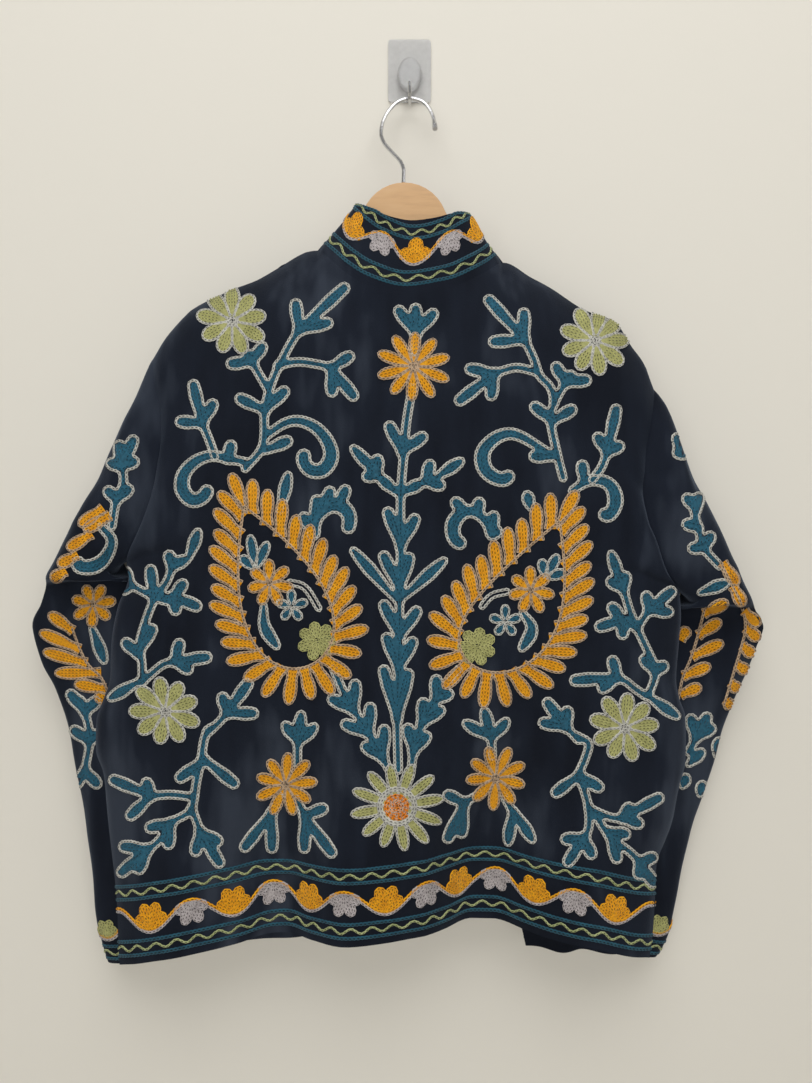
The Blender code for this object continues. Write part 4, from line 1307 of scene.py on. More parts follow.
# %% [markdown]
# ## Petals
# A petal is stitched on its own: an outline that starts and ends at its base, with rows that run
# from base to tip inside it. It needs no field, as its sides follow one formula.

# %% Petals
PETAL_YARN = YARN_WIDTH - 0.3
PETAL_LIFT = 0.25        # a petal's outline stands this much above its rows
PETAL_EDGE = 1.6         # from a petal's outline to the row beside it
PETAL_GROUND = 0.45      # height of the flat ground under a petal
PETAL_PLACES = 15        # places along each side of a petal
ROW_PLACES = 25          # and along its rows


def petal_width(t, foot):
    """A petal's half width along it, about 1 at its widest, foot at its base, round at its tip."""
    return np.maximum(1.1 * (1 - (1 - t) ** 2.3) ** 0.75 * np.sqrt(1 - t ** 4.5), foot * (1 - t))


def petal(ground, base, tip, half, outline, fill, lift=0.0, bare=0.0, foot=0.35):
    """A petal from base to tip. half is its half width, foot the share of that at its base, and
    bare the share of its length left unfilled."""
    base, tip = np.asarray(base, float), np.asarray(tip, float)
    length = np.linalg.norm(tip - base)
    ahead = (tip - base) / length
    side = np.array((-ahead[1], ahead[0]))
    reach = length - YARN_WIDTH / 2
    t = (1 - np.cos(np.linspace(0, math.pi, PETAL_PLACES))) / 2
    wide = half * petal_width(t, foot)
    spine = base + ahead * (t * reach)[:, None]
    left, right = spine + side * wide[:, None], spine - side * wide[:, None]
    stitch(ground, outline, curve(np.concatenate((left, right[-2::-1])), 2.2), False, PETAL_YARN,
           lift + PETAL_LIFT)
    spots, normals, ok = ground.lay(np.concatenate((left, right)))
    k = np.arange(len(t) - 1)
    faces = np.stack((k, k + 1, k + 1 + len(t), k + len(t)), axis=1)
    faces = faces[ok[faces].all(axis=1)]
    if len(faces):
        high = lift + PETAL_GROUND
        PATCHES.setdefault((ground.name, fill), []).append((spots + normals * high, faces))
    t = np.linspace(bare, 1, ROW_PLACES)
    wide = half * petal_width(t, foot)
    rows = max(0, int((half - 1.4) / ROW_GAP + 0.3))
    for k in range(-rows, rows + 1):
        off = k * min(ROW_GAP, (half - PETAL_EDGE) / max(rows, 1))
        keep = wide > abs(off) + 1.0
        if keep.sum() > 4:
            line = base + ahead * (t[keep] * reach)[:, None] + side * off
            stitch(ground, fill, line, False, FILL_WIDTH, lift + 0.08 * (k % 2))


print("petal rows", FILL_WIDTH, "mm wide")

# %% [markdown]
# ## Flowers
# A flower turns a petal round a centre. Its petals differ a little in length and height, as sewn
# ones do. A flat coil of stitches makes its heart.


# %% Flowers, coils and circles
FLOWER_EYE = 0.12        # a petal starts this far out, as a share of the flower's radius
FLOWER_HEART = 0.16      # and the heart's coil reaches this far
UNEVEN = 0.05            # how much the petals' lengths differ
COIL_PLACES = 14         # places on one turn of a coil
CIRCLE_PLACES = 30


def flower(ground, centre, radius, petals, half, outline, fill, turn=0.0, lift=0.35, bare=0.3):
    """Petals turned round a centre, and a small coil of stitches as its heart."""
    centre = np.asarray(centre, float)
    for k in range(petals):
        angle = math.radians(turn + 360 * k / petals)
        ahead = np.array((math.cos(angle), math.sin(angle)))
        reach = radius * (1 + UNEVEN * math.sin(5 * k + radius))
        petal(ground, centre + ahead * radius * FLOWER_EYE, centre + ahead * reach, half, outline, fill,
              lift + 0.15 * (k % 2), bare)
    coil(ground, centre, radius * FLOWER_HEART, outline, lift + 0.5)


def coil(ground, centre, radius, yarn, lift):
    """A flat coil of stitches from the centre out to the radius."""
    turns = max(1.0, radius / ROW_GAP)
    t = np.linspace(0, 1, int(turns * COIL_PLACES) + 2)
    r = radius * t
    angle = 2 * math.pi * turns * t
    line = np.asarray(centre) + np.stack((r * np.cos(angle), r * np.sin(angle)), axis=1)
    stitch(ground, yarn, line, False, YARN_WIDTH, lift)


def ring(ground, centre, radius, yarn, lift):
    """A closed circle of stitches."""
    angle = np.linspace(0, 2 * math.pi, CIRCLE_PLACES, endpoint=False)
    line = np.asarray(centre) + radius * np.stack((np.cos(angle), np.sin(angle)), axis=1)
    stitch(ground, yarn, line, True, YARN_WIDTH, lift)


Bloom = namedtuple("Bloom", "x z radius petals half outline fill turn")


def bloom(ground, row, bare=0.3):
    """A flower from its table row."""
    flower(ground, (row.x, row.z), row.radius, row.petals, row.half, row.outline, row.fill, row.turn,
           bare=bare)


print("flower hearts", FLOWER_HEART)

# %% [markdown]
# ## Rings of petals
# The large rings are drops with petals at even steps of their tips, so that none overlap where the
# drop curves tightly. Away from its foot they lean toward its tip.

# %% Drops
Drop = namedtuple("Drop", "foot tip half bend petals length lean")
RING_PETAL = 5.3         # half width of a petal in a ring
FULL_LEAN = 85           # degrees away from the drop's foot at which its petals lean fully
DROP_WIDTH = 1.325       # brings the formula's widest place to the drop's half width
RING_UNEVEN = 0.06       # how much a ring's petals differ in length


def drop_line(drop, count=240):
    """The drop's outline, from its tip down one side and up the other."""
    foot, tip = np.asarray(drop.foot, float), np.asarray(drop.tip, float)
    axis = (tip - foot) / 2
    side = np.array((-axis[1], axis[0])) / np.linalg.norm(axis)
    s = np.linspace(0, 2 * math.pi, count)
    wide = DROP_WIDTH * drop.half * np.sin(s) * np.sin(s / 2) ** 1.1
    bend = drop.bend * np.sin(math.pi * (1 + np.cos(s)) / 2)
    return (foot + tip) / 2 + axis * np.cos(s)[:, None] + side * (wide + bend)[:, None]


def paisley(ground, drop, outline, fill, lift=0.3):
    """A drop with a fringe of petals that lean toward its tip."""
    line = drop_line(drop)
    run = run_length(line)
    tip_way = unit(np.array([np.subtract(drop.tip, drop.foot)], float))[0]
    way = np.gradient(line, axis=0)
    fringe = line + 0.8 * drop.length * unit(np.stack((way[:, 1], -way[:, 0]), axis=1))
    outer = run_length(fringe[4:-4])
    for k in range(drop.petals):
        place = np.interp((k + 0.5) / drop.petals * outer[-1], outer, run[4:-4])
        base = at_run(place, run, line)
        ahead = at_run(min(place + 1, run[-1]), run, line) - base
        out = unit(np.array([(-ahead[1], ahead[0])]))[0]
        if np.dot(out, base - np.mean(line, axis=0)) < 0:
            out = -out
        off = math.degrees(math.acos(np.clip(-np.dot(out, tip_way), -1, 1)))
        lean = math.radians(drop.lean * ease(off / FULL_LEAN))
        way = 1 if np.cross(out, tip_way) > 0 else -1
        turned = np.array((out[0] * math.cos(lean) - way * out[1] * math.sin(lean),
                           way * out[0] * math.sin(lean) + out[1] * math.cos(lean)))
        reach = drop.length * (1 + RING_UNEVEN * math.sin(2.3 * k))
        petal(ground, base - turned, base + turned * reach, RING_PETAL, outline, fill,
              lift + 0.2 * (k % 2), foot=1.0)
    petal(ground, line[0], line[0] + tip_way * drop.length, RING_PETAL, outline, fill, lift + 0.3)
    stitch(ground, outline, line[::3], False, YARN_WIDTH, lift + 0.6)


print("ring petals", 2 * RING_PETAL, "mm wide")

# %% [markdown]
# ## The pattern on the back
# Plants grow up from the hem and down from the shoulders round two leaf-shaped rings, with a tall
# middle stem between them. Places are given on the pattern plane, x to the viewer's right and z
# up from the wall hook. A plant is a few stems, sprigs (a joint and the tips of its lobes), single
# leaves and scrolls.

# %% Plants of the back
# A sprig is its joint and the tips of its lobes, a leaf is its base and its tip
Plant = namedtuple("Plant", "stems sprigs leaves scrolls")
BACK_PLANTS = {
    "left shoulder": Plant(
        [[(-142, -390), (-127, -370), (-125, -338), (-118, -313), (-106, -288), (-96, -271)],
         [(-114, -301), (-97, -298), (-80, -300), (-68, -303)],
         [(-136, -298), (-131, -307), (-124, -319)]],
        [((-96, -271), [(-99, -242), (-52, -230), (-65, -263)]),
         ((-68, -303), [(-47, -290), (-45, -332), (-67, -330)]),
         ((-136, -298), [(-124, -280), (-160, -300), (-143, -287)]),
         ((-125, -340), [(-152, -327), (-104, -319)]),
         ((-124, -374), [(-100, -364)]), ((-157, -382), [(-153, -364)])],
        [],
        [[(-123, -361), (-108, -351), (-95, -349), (-81, -355), (-71, -367), (-68, -380), (-75, -391),
          (-86, -391), (-92, -382), (-88, -373)],
         [(-143, -384), (-155, -382), (-171, -379), (-185, -384), (-195, -395), (-196, -408),
          (-188, -417), (-178, -414), (-172, -403)]]),
    "left shoulder side": Plant(
        [[(-179, -351), (-172, -368), (-168, -380)]],
        [((-179, -351), [(-188, -312), (-167, -329), (-204, -349)])], [], []),
    "right shoulder": Plant(
        [[(132, -398), (128, -382), (121, -348), (124, -333), (121, -320), (112, -310), (107, -296),
          (99, -279)],
         [(107, -306), (91, -303), (73, -308)],
         [(134, -316), (125, -332)]],
        [((99, -279), [(64, -240), (98, -250), (66, -281)]),
         ((73, -308), [(46, -303), (38, -335), (69, -333)]),
         ((134, -316), [(123, -297), (158, -313), (143, -305)]),
         ((123, -349), [(103, -333), (145, -336)]),
         ((122, -380), [(101, -379)]), ((150, -401), [(148, -381)])],
        [],
        [[(122, -378), (109, -370), (95, -362), (84, -360), (72, -365), (63, -376), (64, -389),
          (72, -397), (82, -399), (89, -391)],
         [(140, -409), (153, -401), (167, -401), (175, -408), (177, -420), (171, -430), (162, -426)]]),
    "right shoulder side": Plant(
        [[(170, -376), (165, -389), (157, -400)]],
        [((170, -376), [(179, -333), (159, -358), (186, -368)])], [], []),
    "middle": Plant(
        [[(2, -320), (-3, -350), (-5, -374), (-8, -413), (-8, -457), (-9, -495), (-9, -535),
          (-10, -563), (-11, -606), (-10, -650)],
         [(5, -277), (4, -290)],
         [(-18, -650), (-26, -634), (-36, -617), (-50, -596), (-58, -581), (-66, -562)],
         [(1, -650), (4, -628), (11, -608), (22, -589), (31, -576), (42, -563)]],
        [((5, -274), [(-13, -249), (5, -246), (24, -252)]),
         ((-7, -376), [(-20, -348), (16, -359)]),
         ((-12, -410), [(-28, -396)]), ((-28, -396), [(-28, -376), (-43, -397)]),
         ((-5, -410), [(13, -401)]), ((13, -401), [(19, -381), (32, -406)]),
         ((-8, -457), [(-21, -422), (7, -428)]), ((-9, -494), [(-25, -460), (1, -461)]),
         ((-9, -535), [(-25, -502), (9, -508)]), ((-10, -563), [(-22, -530), (5, -534)]),
         ((-11, -606), [(-24, -558), (0, -561)]),
         ((-23, -640), [(-22, -609), (-43, -626)]), ((-35, -619), [(-34, -590), (-61, -608)]),
         ((-48, -599), [(-47, -570), (-72, -586)]),
         ((3, -634), [(-3, -608), (18, -616)]), ((10, -610), [(12, -586), (31, -595)]),
         ((22, -589), [(23, -566), (39, -582)])],
        [((-25, -398), (-52, -369)), ((22, -398), (48, -381)),
         ((-12, -503), (-52, -457)), ((-8, -503), (33, -466))],
        []),
    "left side": Plant(
        [[(-205, -475), (-210, -488), (-220, -502), (-228, -522), (-233, -541), (-231, -558),
          (-231, -574)],
         [(-231, -574), (-223, -567), (-213, -559), (-203, -556)],
         [(-221, -501), (-241, -490)]],
        [((-205, -475), [(-209, -459), (-190, -466)]),
         ((-221, -501), [(-224, -471)]), ((-241, -490), [(-247, -473), (-252, -498)]),
         ((-214, -503), [(-204, -500)]),
         ((-204, -500), [(-192, -485), (-178, -511), (-201, -518)]),
         ((-235, -550), [(-249, -536), (-219, -523)]),
         ((-203, -556), [(-197, -535), (-169, -552), (-186, -566)])],
        [((-233, -573), (-262, -590)), ((-191, -468), (-181, -440))],
        []),
    "left hem": Plant(
        [[(-171, -614), (-177, -622), (-180, -640), (-184, -660), (-189, -684), (-205, -695),
          (-216, -710), (-226, -719)],
         [(-188, -673), (-205, -671), (-223, -672)], [(-188, -683), (-185, -691), (-181, -702)],
         [(-175, -616), (-167, -611), (-158, -601)]],
        [((-158, -601), [(-163, -581), (-136, -570), (-129, -601)]),
         ((-177, -641), [(-203, -660), (-147, -665)]),
         ((-223, -672), [(-261, -656), (-229, -655), (-245, -693)]),
         ((-206, -695), [(-230, -701), (-209, -720)]),
         ((-226, -718), [(-253, -715), (-253, -742), (-236, -741)]),
         ((-181, -703), [(-186, -726), (-160, -714), (-161, -735)])],
        [], []),
    "right side": Plant(
        [[(184, -494), (189, -511), (195, -526), (203, -543), (210, -558), (211, -570), (206, -584)],
         [(203, -586), (193, -579), (187, -574), (179, -570)], [(194, -527), (184, -520)],
         [(197, -526), (206, -512)]],
        [((184, -494), [(168, -484), (187, -477)]),
         ((184, -520), [(170, -505), (158, -528), (183, -539)]),
         ((206, -512), [(203, -494), (230, -492), (229, -514)]),
         ((211, -565), [(198, -550), (224, -557)]),
         ((179, -570), [(173, -550), (136, -573), (161, -583)])],
        [((205, -586), (234, -606)), ((183, -492), (172, -459))],
        []),
    "right hem": Plant(
        [[(145, -621), (154, -627), (151, -640), (146, -654), (151, -670), (154, -684), (154, -700),
          (149, -710)],
         [(155, -683), (171, -690), (183, -692)],
         [(161, -690), (167, -700), (174, -709), (189, -720), (198, -729)], [(145, -624), (135, -613)]],
        [((135, -613), [(115, -587), (109, -608), (136, -593)]),
         ((146, -654), [(121, -673), (168, -668)]),
         ((183, -691), [(192, -677), (220, -671), (203, -698)]),
         ((150, -708), [(128, -710), (133, -734), (159, -728)]),
         ((172, -703), [(192, -706), (180, -732)]),
         ((198, -729), [(215, -723), (197, -746), (213, -752)])],
        [], []),
    "left flower": Plant(
        [[(-97, -622), (-97, -645)], [(-112, -672), (-119, -686)], [(-98, -674), (-91, -688)]],
        [((-119, -686), [(-146, -721), (-119, -723)]),
         ((-91, -689), [(-91, -723), (-64, -726), (-69, -681)])],
        [((-98, -625), (-110, -607)), ((-97, -625), (-93, -597)), ((-96, -627), (-79, -609))],
        []),
    "right flower": Plant(
        [[(70, -620), (71, -638)], [(60, -670), (47, -678)], [(80, -670), (89, -687)]],
        [((47, -678), [(27, -669), (30, -714), (44, -710)])],
        [((69, -622), (44, -607)), ((70, -620), (63, -594)), ((72, -622), (86, -604)),
         ((88, -686), (84, -717)), ((90, -685), (108, -714))],
        []),
    "left hand": Plant(
        [], [((-82, -446), [(-95, -427), (-80, -411)]), ((-75, -427), [(-67, -404)]),
             ((-62, -422), [(-53, -403)])],
        [((-112, -427), (-104, -391))],
        [[(-85, -449), (-82, -436), (-74, -426), (-65, -422), (-56, -425), (-52, -434), (-55, -447)]]),
    "right hand": Plant(
        [], [((70, -446), [(81, -443), (73, -425)]), ((59, -427), [(60, -413)]),
             ((47, -426), [(35, -415)])],
        [((104, -424), (100, -408))],
        [[(71, -448), (64, -434), (54, -427), (44, -429), (37, -439), (39, -451), (49, -457)]]),
}


def grow(ground, plant, lift=0.0):
    """Embroiders a plant as one joined shape."""
    strokes = [stem(line) for line in plant.stems]
    for joint, tips in plant.sprigs:
        strokes += sprig(joint, tips)
    strokes += [stroke(leaf, BLADE) for leaf in plant.leaves]
    strokes += [stroke(line, SCROLL) for line in plant.scrolls]
    embroider(ground, strokes, "cream", "teal", lift)


for plant in BACK_PLANTS.values():
    grow(BACK, plant)
print("plants", len(BACK_PLANTS), "rows so far", sum(map(len, ROWS.values())))

# %% [markdown]
# ## The two rings
# Each ring is a leaf-shaped drop with a fringe of yellow petals that lean toward its tip. Inside it
# lie small flowers and leaves of the same stitches, and the ring on the right is a little narrower.

# %% Rings of petals and what they hold
RINGS = [Drop((-87, -560), (-143, -422), 37.5, 0, 28, 31, 38),
         Drop((56, -561), (129, -435), 36.5, -9, 28, 31, 38)]
# What lies inside a ring: three leaves, a yellow flower, a long leaf, an arc, a small ring flower
# and a green half flower at the ring's foot
Filling = namedtuple("Filling", "joint leaves flower long_leaf arc little green green_turn")
FILLINGS = [
    Filling((-133, -477), [(-138, -446), (-122, -452), (-147, -465)], (-121, -489),
            [(-126, -508), (-125, -527), (-112, -547)], [(-104, -488), (-90, -493), (-76, -515)],
            (-102, -509), (-80, -538), 100),
    Filling((117, -484), [(113, -467), (128, -463), (135, -479)], (104, -495),
            [(97, -514), (105, -529), (94, -549)], [(84, -496), (70, -500), (59, -513)],
            (82, -522), (58, -543), 80),
]
for drop, row in zip(RINGS, FILLINGS):
    paisley(BACK, drop, "tan", "yellow")
    for tip in row.leaves:
        petal(BACK, row.joint, tip, 4.2, "cream", "teal", 0.1, 0.2)
    flower(BACK, row.flower, 21, 7, 4.4, "tan", "yellow", 40, 0.3, 0.35)
    embroider(BACK, [stroke(row.long_leaf, BLADE)], "cream", "teal")
    line, radii = stroke(row.arc, ((0, 2.2), (1, 2.2)))
    for shape in Field([(line, radii)]).contours(0):
        stitch(BACK, "cream", soften(shape), True)
    flower(BACK, row.little, 15, 5, 3.4, "cream", "teal", 18, 0.3, 0.35)
    flower(BACK, row.green, 17.5, 7, 4.2, "olive", "olive", row.green_turn, 0.3, 0.2)
print("rings", len(RINGS))

# %% [markdown]
# ## Flowers
# Green flowers sit at the shoulders and the sides, yellow ones under the collar and between the
# plants of the hem. The daisy at the foot of the middle stem has an orange heart in cream rings.

# %% Flowers of the back
BLOOMS = [
    Bloom(-153, -263, 31, 9, 6.4, "cream", "olive", 10),
    Bloom(159, -280, 31, 9, 6.4, "cream", "olive", 0),
    Bloom(-211, -599, 31, 9, 6.4, "cream", "olive", 20),
    Bloom(185, -613, 31, 9, 6.4, "cream", "olive", 5),
    Bloom(3, -302, 32, 10, 4.6, "tan", "yellow", 15), Bloom(-107, -662, 28, 9, 4.6, "tan", "yellow", 5),
    Bloom(74, -656, 28, 9, 4.6, "tan", "yellow", 25),
]
DAISY = Bloom(-11, -681, 40, 12, 4.7, "cream", "olive", 10)
DAISY_HEART = 11.5
for row in BLOOMS:
    bloom(BACK, row)
bloom(BACK, DAISY, 0.45)
coil(BACK, (DAISY.x, DAISY.z), DAISY_HEART, "orange", 0.9)
for out in (1, 2):
    ring(BACK, (DAISY.x, DAISY.z), DAISY_HEART + ROW_GAP * out, "cream", 1.0)
print("flowers", len(BLOOMS) + 1)

# %% [markdown]
# ## Borders
# The hem, the collar and the cuffs carry one border: teal lines and pale green zigzags on both
# sides of a waving stem, with yellow buds in its troughs and grey ones under its crests.

# %% Border
Border = namedtuple("Border", "lines zigzags wave_low wave_high period start")
ZIGZAG = 18.5            # length of one wave of a zigzag
ZIGZAG_REACH = 2.3
BUD_MARGIN = 8           # no bud stands nearer than this to a border's end
WAVE_YARNS = ((-1.3, "lavender"), (1.3, "yellow"))  # the waving stem's two rows, and how far off
WAVE_SHARE = 0.8         # how much of the height between the buds' rows the stem waves through
HIGH_BUD = 0.66          # where a crest's bud and a trough's bud start, by the same measure
LOW_BUD = 0.6


def straight(strip, height):
    count = int(strip.length / 4)
    return np.stack((np.linspace(0, strip.length, count), np.full(count, height)), axis=1)


def zigzag(strip, height):
    """A chain that runs up and down in short waves."""
    places = np.arange(0, strip.length, 2.0)
    return np.stack((places, height + ZIGZAG_REACH * np.sin(2 * math.pi * places / ZIGZAG)), axis=1)


def bud(ground, base, angle, size, fill, petals=4, spread=105):
    """A fan of rounded petals that opens from its base."""
    for k in sorted(range(petals), key=lambda k: -abs(k - (petals - 1) / 2)):
        turn = math.radians(angle + spread * (k / (petals - 1) - 0.5))
        middle = 1 - 0.28 * abs(2 * k / (petals - 1) - 1)
        tip = np.asarray(base) + size * middle * np.array((math.cos(turn), math.sin(turn)))
        petal(ground, base, tip, size * 0.8 / petals, fill, fill, 0.15 * (k % 2))


def border(strip, row, bud_low="yellow", bud_high="lavender", size=25, petals=4):
    """A whole border: its lines, zigzags, waving stem and buds of the given size and petals."""
    for height in row.lines:
        stitch(strip, "dark_teal", straight(strip, height), width=3.7)
    for height in row.zigzags:
        stitch(strip, "pale_green", zigzag(strip, height), width=2.3)
    middle, reach = (row.wave_low + row.wave_high) / 2, (row.wave_high - row.wave_low) / 2
    places = np.arange(0, strip.length, 3.0)
    for off, yarn in WAVE_YARNS:
        wave = middle + off + reach * WAVE_SHARE * np.cos(2 * math.pi * (places - row.start) / row.period)
        stitch(strip, yarn, np.stack((places, wave), axis=1), lift=0.3)
    count = int(strip.length / row.period) + 2
    for k in range(-1, count):
        crest = row.start + k * row.period
        if BUD_MARGIN < crest < strip.length - BUD_MARGIN:
            bud(strip, (crest, middle + reach * HIGH_BUD), -90, size * 0.9, bud_high, 4, 130)
        trough = crest + row.period / 2
        if BUD_MARGIN < trough < strip.length - BUD_MARGIN:
            bud(strip, (trough, middle - reach * LOW_BUD), 90, size, bud_low, petals)


HEM_BORDER = Border((8, 20, 56.5, 68), (14, 62), 25, 50, 73, 2)
COLLAR_BORDER = Border((9, 20.5, 53.5, 65), (14.5, 59), 26, 52, 65, 4.5)
CUFF_BORDER = Border((5, 17), (11,), 22, 46, 66, 30)
border(Strip("back", False, 75), HEM_BORDER)
border(Strip("collar", True, 75), COLLAR_BORDER, size=23, petals=3)
for name in ("front_left", "front_right"):
    border(Strip(name, False, 75), HEM_BORDER)
for name in ("sleeve_left", "sleeve_right"):
    border(Strip(name, False, 60, True), CUFF_BORDER, "olive", "olive", 18)
print("borders", 6)

# %% [markdown]
# ## Sleeves
# The sleeves carry the same plants, with a column of yellow petals that curls round each elbow.

# %% Sleeve plants
SLEEVE_PLANTS = {
    "sleeve_left": [
        Plant([[(-249, -385), (-247, -402), (-253, -417), (-257, -440)]],
              [((-249, -388), [(-251, -364), (-236, -360), (-232, -382), (-263, -384)]),
               ((-253, -417), [(-264, -405), (-238, -404)])], [], []),
        Plant([], [], [((-274, -527), (-262, -560))],
              [[(-266, -440), (-257, -452), (-262, -466), (-272, -474), (-285, -474), (-286, -464)]]),
        Plant([[(-283, -590), (-276, -620), (-280, -650)]],
              [((-280, -600), [(-296, -580), (-266, -586)]),
               ((-277, -625), [(-294, -612), (-262, -615)]),
               ((-280, -650), [(-292, -668), (-266, -666)])], [], []),
    ],
    "sleeve_right": [
        Plant([[(267, -474), (253, -458), (249, -443), (245, -427)]],
              [((247, -425), [(235, -411), (250, -409)]), ((249, -441), [(233, -436)]),
               ((254, -458), [(238, -459), (262, -443)]),
               ((236, -378), [(225, -374), (228, -358)])],
              [((250, -497), (277, -487))], []),
        Plant([[(240, -634), (247, -622)]],
              [((246, -622), [(241, -600), (259, -599), (265, -611)])],
              [((240, -645), (255, -631)), ((264, -637), (267, -620)),
               ((235, -664), (239, -652)), ((250, -671), (253, -658))], []),
    ],
}
SLEEVE_PETAL = 5.2       # half width of the yellow petals
# Their base and tip
SLEEVE_PETALS = {
    "sleeve_left": [
        ((-264, -424), (-286, -440)), ((-258, -430), (-282, -444)), ((-274, -446), (-296, -460)),
        ((-286, -464), (-304, -474)), ((-296, -478), (-310, -486)),
        ((-290, -530), (-312, -514)), ((-284, -546), (-320, -530)), ((-278, -558), (-317, -547)),
        ((-266, -566), (-307, -566)), ((-262, -580), (-290, -575)), ((-258, -592), (-272, -584)),
    ],
    "sleeve_right": [
        ((269, -471), (283, -491)), ((278, -491), (288, -509)), ((288, -512), (302, -526)),
        ((289, -527), (302, -538)), ((286, -542), (297, -552)), ((281, -558), (292, -566)),
        ((276, -574), (284, -582)), ((272, -589), (278, -597)),
        ((253, -515), (275, -504)), ((248, -534), (269, -520)), ((243, -552), (271, -539)),
        ((235, -569), (260, -559)), ((233, -585), (252, -577)), ((233, -538), (240, -526)),
    ],
}
# The row that the petals stand on
SLEEVE_SPINES = {
    "sleeve_left": [[(-291, -527), (-284, -546), (-277, -559), (-266, -570), (-259, -586), (-255, -600)]],
    "sleeve_right": [[(254, -510), (248, -534), (242, -553), (235, -570), (231, -590)],
                     [(267, -470), (277, -490), (287, -511), (289, -528), (285, -545), (280, -562),
                      (275, -578), (270, -594)]],
}
SLEEVE_BLOOMS = {
    "sleeve_left": [Bloom(-273, -507, 20, 7, 4.4, "tan", "yellow", 10)],
}
for name, plants in SLEEVE_PLANTS.items():
    ground = Ground(name)
    for plant in plants:
        grow(ground, plant)
    for base, tip in SLEEVE_PETALS[name]:
        petal(ground, base, tip, SLEEVE_PETAL, "tan", "yellow", 0.3, foot=0.8)
    for line in SLEEVE_SPINES[name]:
        stitch(ground, "tan", curve(line), lift=0.9)
    for row in SLEEVE_BLOOMS.get(name, []):
        bloom(ground, row)
print("sleeve plants", sum(map(len, SLEEVE_PLANTS.values())))


# %% [markdown]
# ## Out of sight
# The wall sides of the sleeves and the two fronts take plants that climb in even steps, with
# flowers and one ring on each front, so the jacket is dressed from every side.


# %% Out of sight: wall sides of the sleeves, and the fronts
def climbing(points, spacing, reach):
    """A plant with pairs of lobes at even steps up its stem."""
    line = curve(points)
    run = run_length(line)
    sprigs = []
    for place in np.arange(spacing / 2, run[-1], spacing):
        joint = at_run(place, run, line)
        on = at_run(min(place + 2, run[-1]), run, line)
        ahead = (on - joint) / (np.linalg.norm(on - joint) + 1e-9)
        side = np.array((-ahead[1], ahead[0]))
        sprigs.append((joint, [joint + ahead * reach * 0.8 + side * way * reach * 0.55
                               for way in (-1, 1)]))
    return Plant([points], sprigs, [], [])


HIDDEN_PLANTS = {
    "sleeve_left": [climbing([(-258, -700), (-268, -640), (-290, -570), (-310, -520)], 34, 27),
                    climbing([(-270, -455), (-255, -400), (-247, -350)], 32, 24)],
    "sleeve_right": [climbing([(196, -700), (222, -640), (256, -590), (290, -545)], 34, 27),
                     climbing([(258, -480), (245, -430), (236, -380)], 32, 24)],
    "front_left": [climbing([(-150, -720), (-158, -640), (-140, -560), (-150, -470)], 36, 29),
                   climbing([(-60, -600), (-66, -520), (-56, -440), (-64, -350)], 36, 29),
                   climbing([(-205, -480), (-190, -420), (-172, -360), (-150, -300)], 34, 26)],
    "front_right": [climbing([(160, -720), (168, -640), (150, -560), (160, -470)], 36, 29),
                    climbing([(82, -600), (80, -520), (72, -440), (74, -350)], 36, 29),
                    climbing([(198, -500), (186, -430), (168, -370), (148, -310)], 34, 26)],
}
HIDDEN_BLOOMS = {
    "sleeve_left": [Bloom(-256, -600, 20, 8, 4.4, "tan", "yellow", 0)],
    "sleeve_right": [Bloom(214, -560, 20, 8, 4.4, "tan", "yellow", 0)],
    "front_left": [Bloom(-110, -660, 28, 9, 4.6, "tan", "yellow", 0),
                   Bloom(-110, -300, 29, 9, 6.0, "cream", "olive", 0)],
    "front_right": [Bloom(124, -660, 28, 9, 4.6, "tan", "yellow", 0),
                    Bloom(112, -300, 29, 9, 6.0, "cream", "olive", 0)],
}
HIDDEN_RINGS = {
    "front_left": [Drop((-112, -530), (-104, -400), 30, 3, 24, 27, 38)],
    "front_right": [Drop((122, -530), (114, -400), 30, -3, 24, 27, 38)],
}
for name, plants in HIDDEN_PLANTS.items():
    ground = WallGround(name)
    for plant in plants:
        grow(ground, plant)
    for drop in HIDDEN_RINGS.get(name, []):
        paisley(ground, drop, "tan", "yellow")
    for row in HIDDEN_BLOOMS[name]:
        bloom(ground, row)
print("stitch rows", sum(map(len, ROWS.values())))

# %% [markdown]
# ## Yarn
# Each colour is a two-ply wool. One shared group turns a stitch's place along its row and across it
# into the dark hole of the loop, partly the velvet showing through and partly painted shade, and the
# twist of the threads, and every yarn is that group with its own colours.


# %% Chain-stitch group
def stitch_group():
    """Masks for one chain stitch from its UV: the loop's hole, for its painted shade, and the twisted
    threads.
    """
    group, enter, leave = node_group("chain_stitch", [("Vector", "Vector")],
                                     [("Hole", "Float"), ("Twist", "Float")])
    split = add_node(group, "SeparateXYZ")
    group.links.new(enter.outputs["Vector"], split.inputs[0])
    along_row, across_row = split.outputs["X"], split.outputs["Y"]
    far = []
    for place, reach in ((maths(group, "FRACT", along_row), 0.33), (across_row, 0.17)):
        scaled = maths(group, "DIVIDE", maths(group, "SUBTRACT", place, 0.5), reach)
        far.append(maths(group, "POWER", maths(group, "ABSOLUTE", scaled), 2.0))
    hole = set_inputs(add_node(group, "MapRange", interpolation_type="SMOOTHSTEP"),
                      {"From Min": 1.5, "From Max": 0.3})
    group.links.new(maths(group, "ADD", *far), hole.inputs["Value"])
    group.links.new(hole.outputs["Result"], leave.inputs["Hole"])
    slant = maths(group, "MULTIPLY_ADD", across_row, 2.2, along_row)
    twist = maths(group, "SINE", maths(group, "MULTIPLY", slant, 25.0))
    group.links.new(twist, leave.inputs["Twist"])
    return group


CHAIN = stitch_group()
print("group", CHAIN.name)

# %% [markdown]
# ## Wool colours
# Dye takes unevenly, so each yarn runs between two tones of its colour. The flat ground lies in the
# shade of the rows, so its tones are darker.

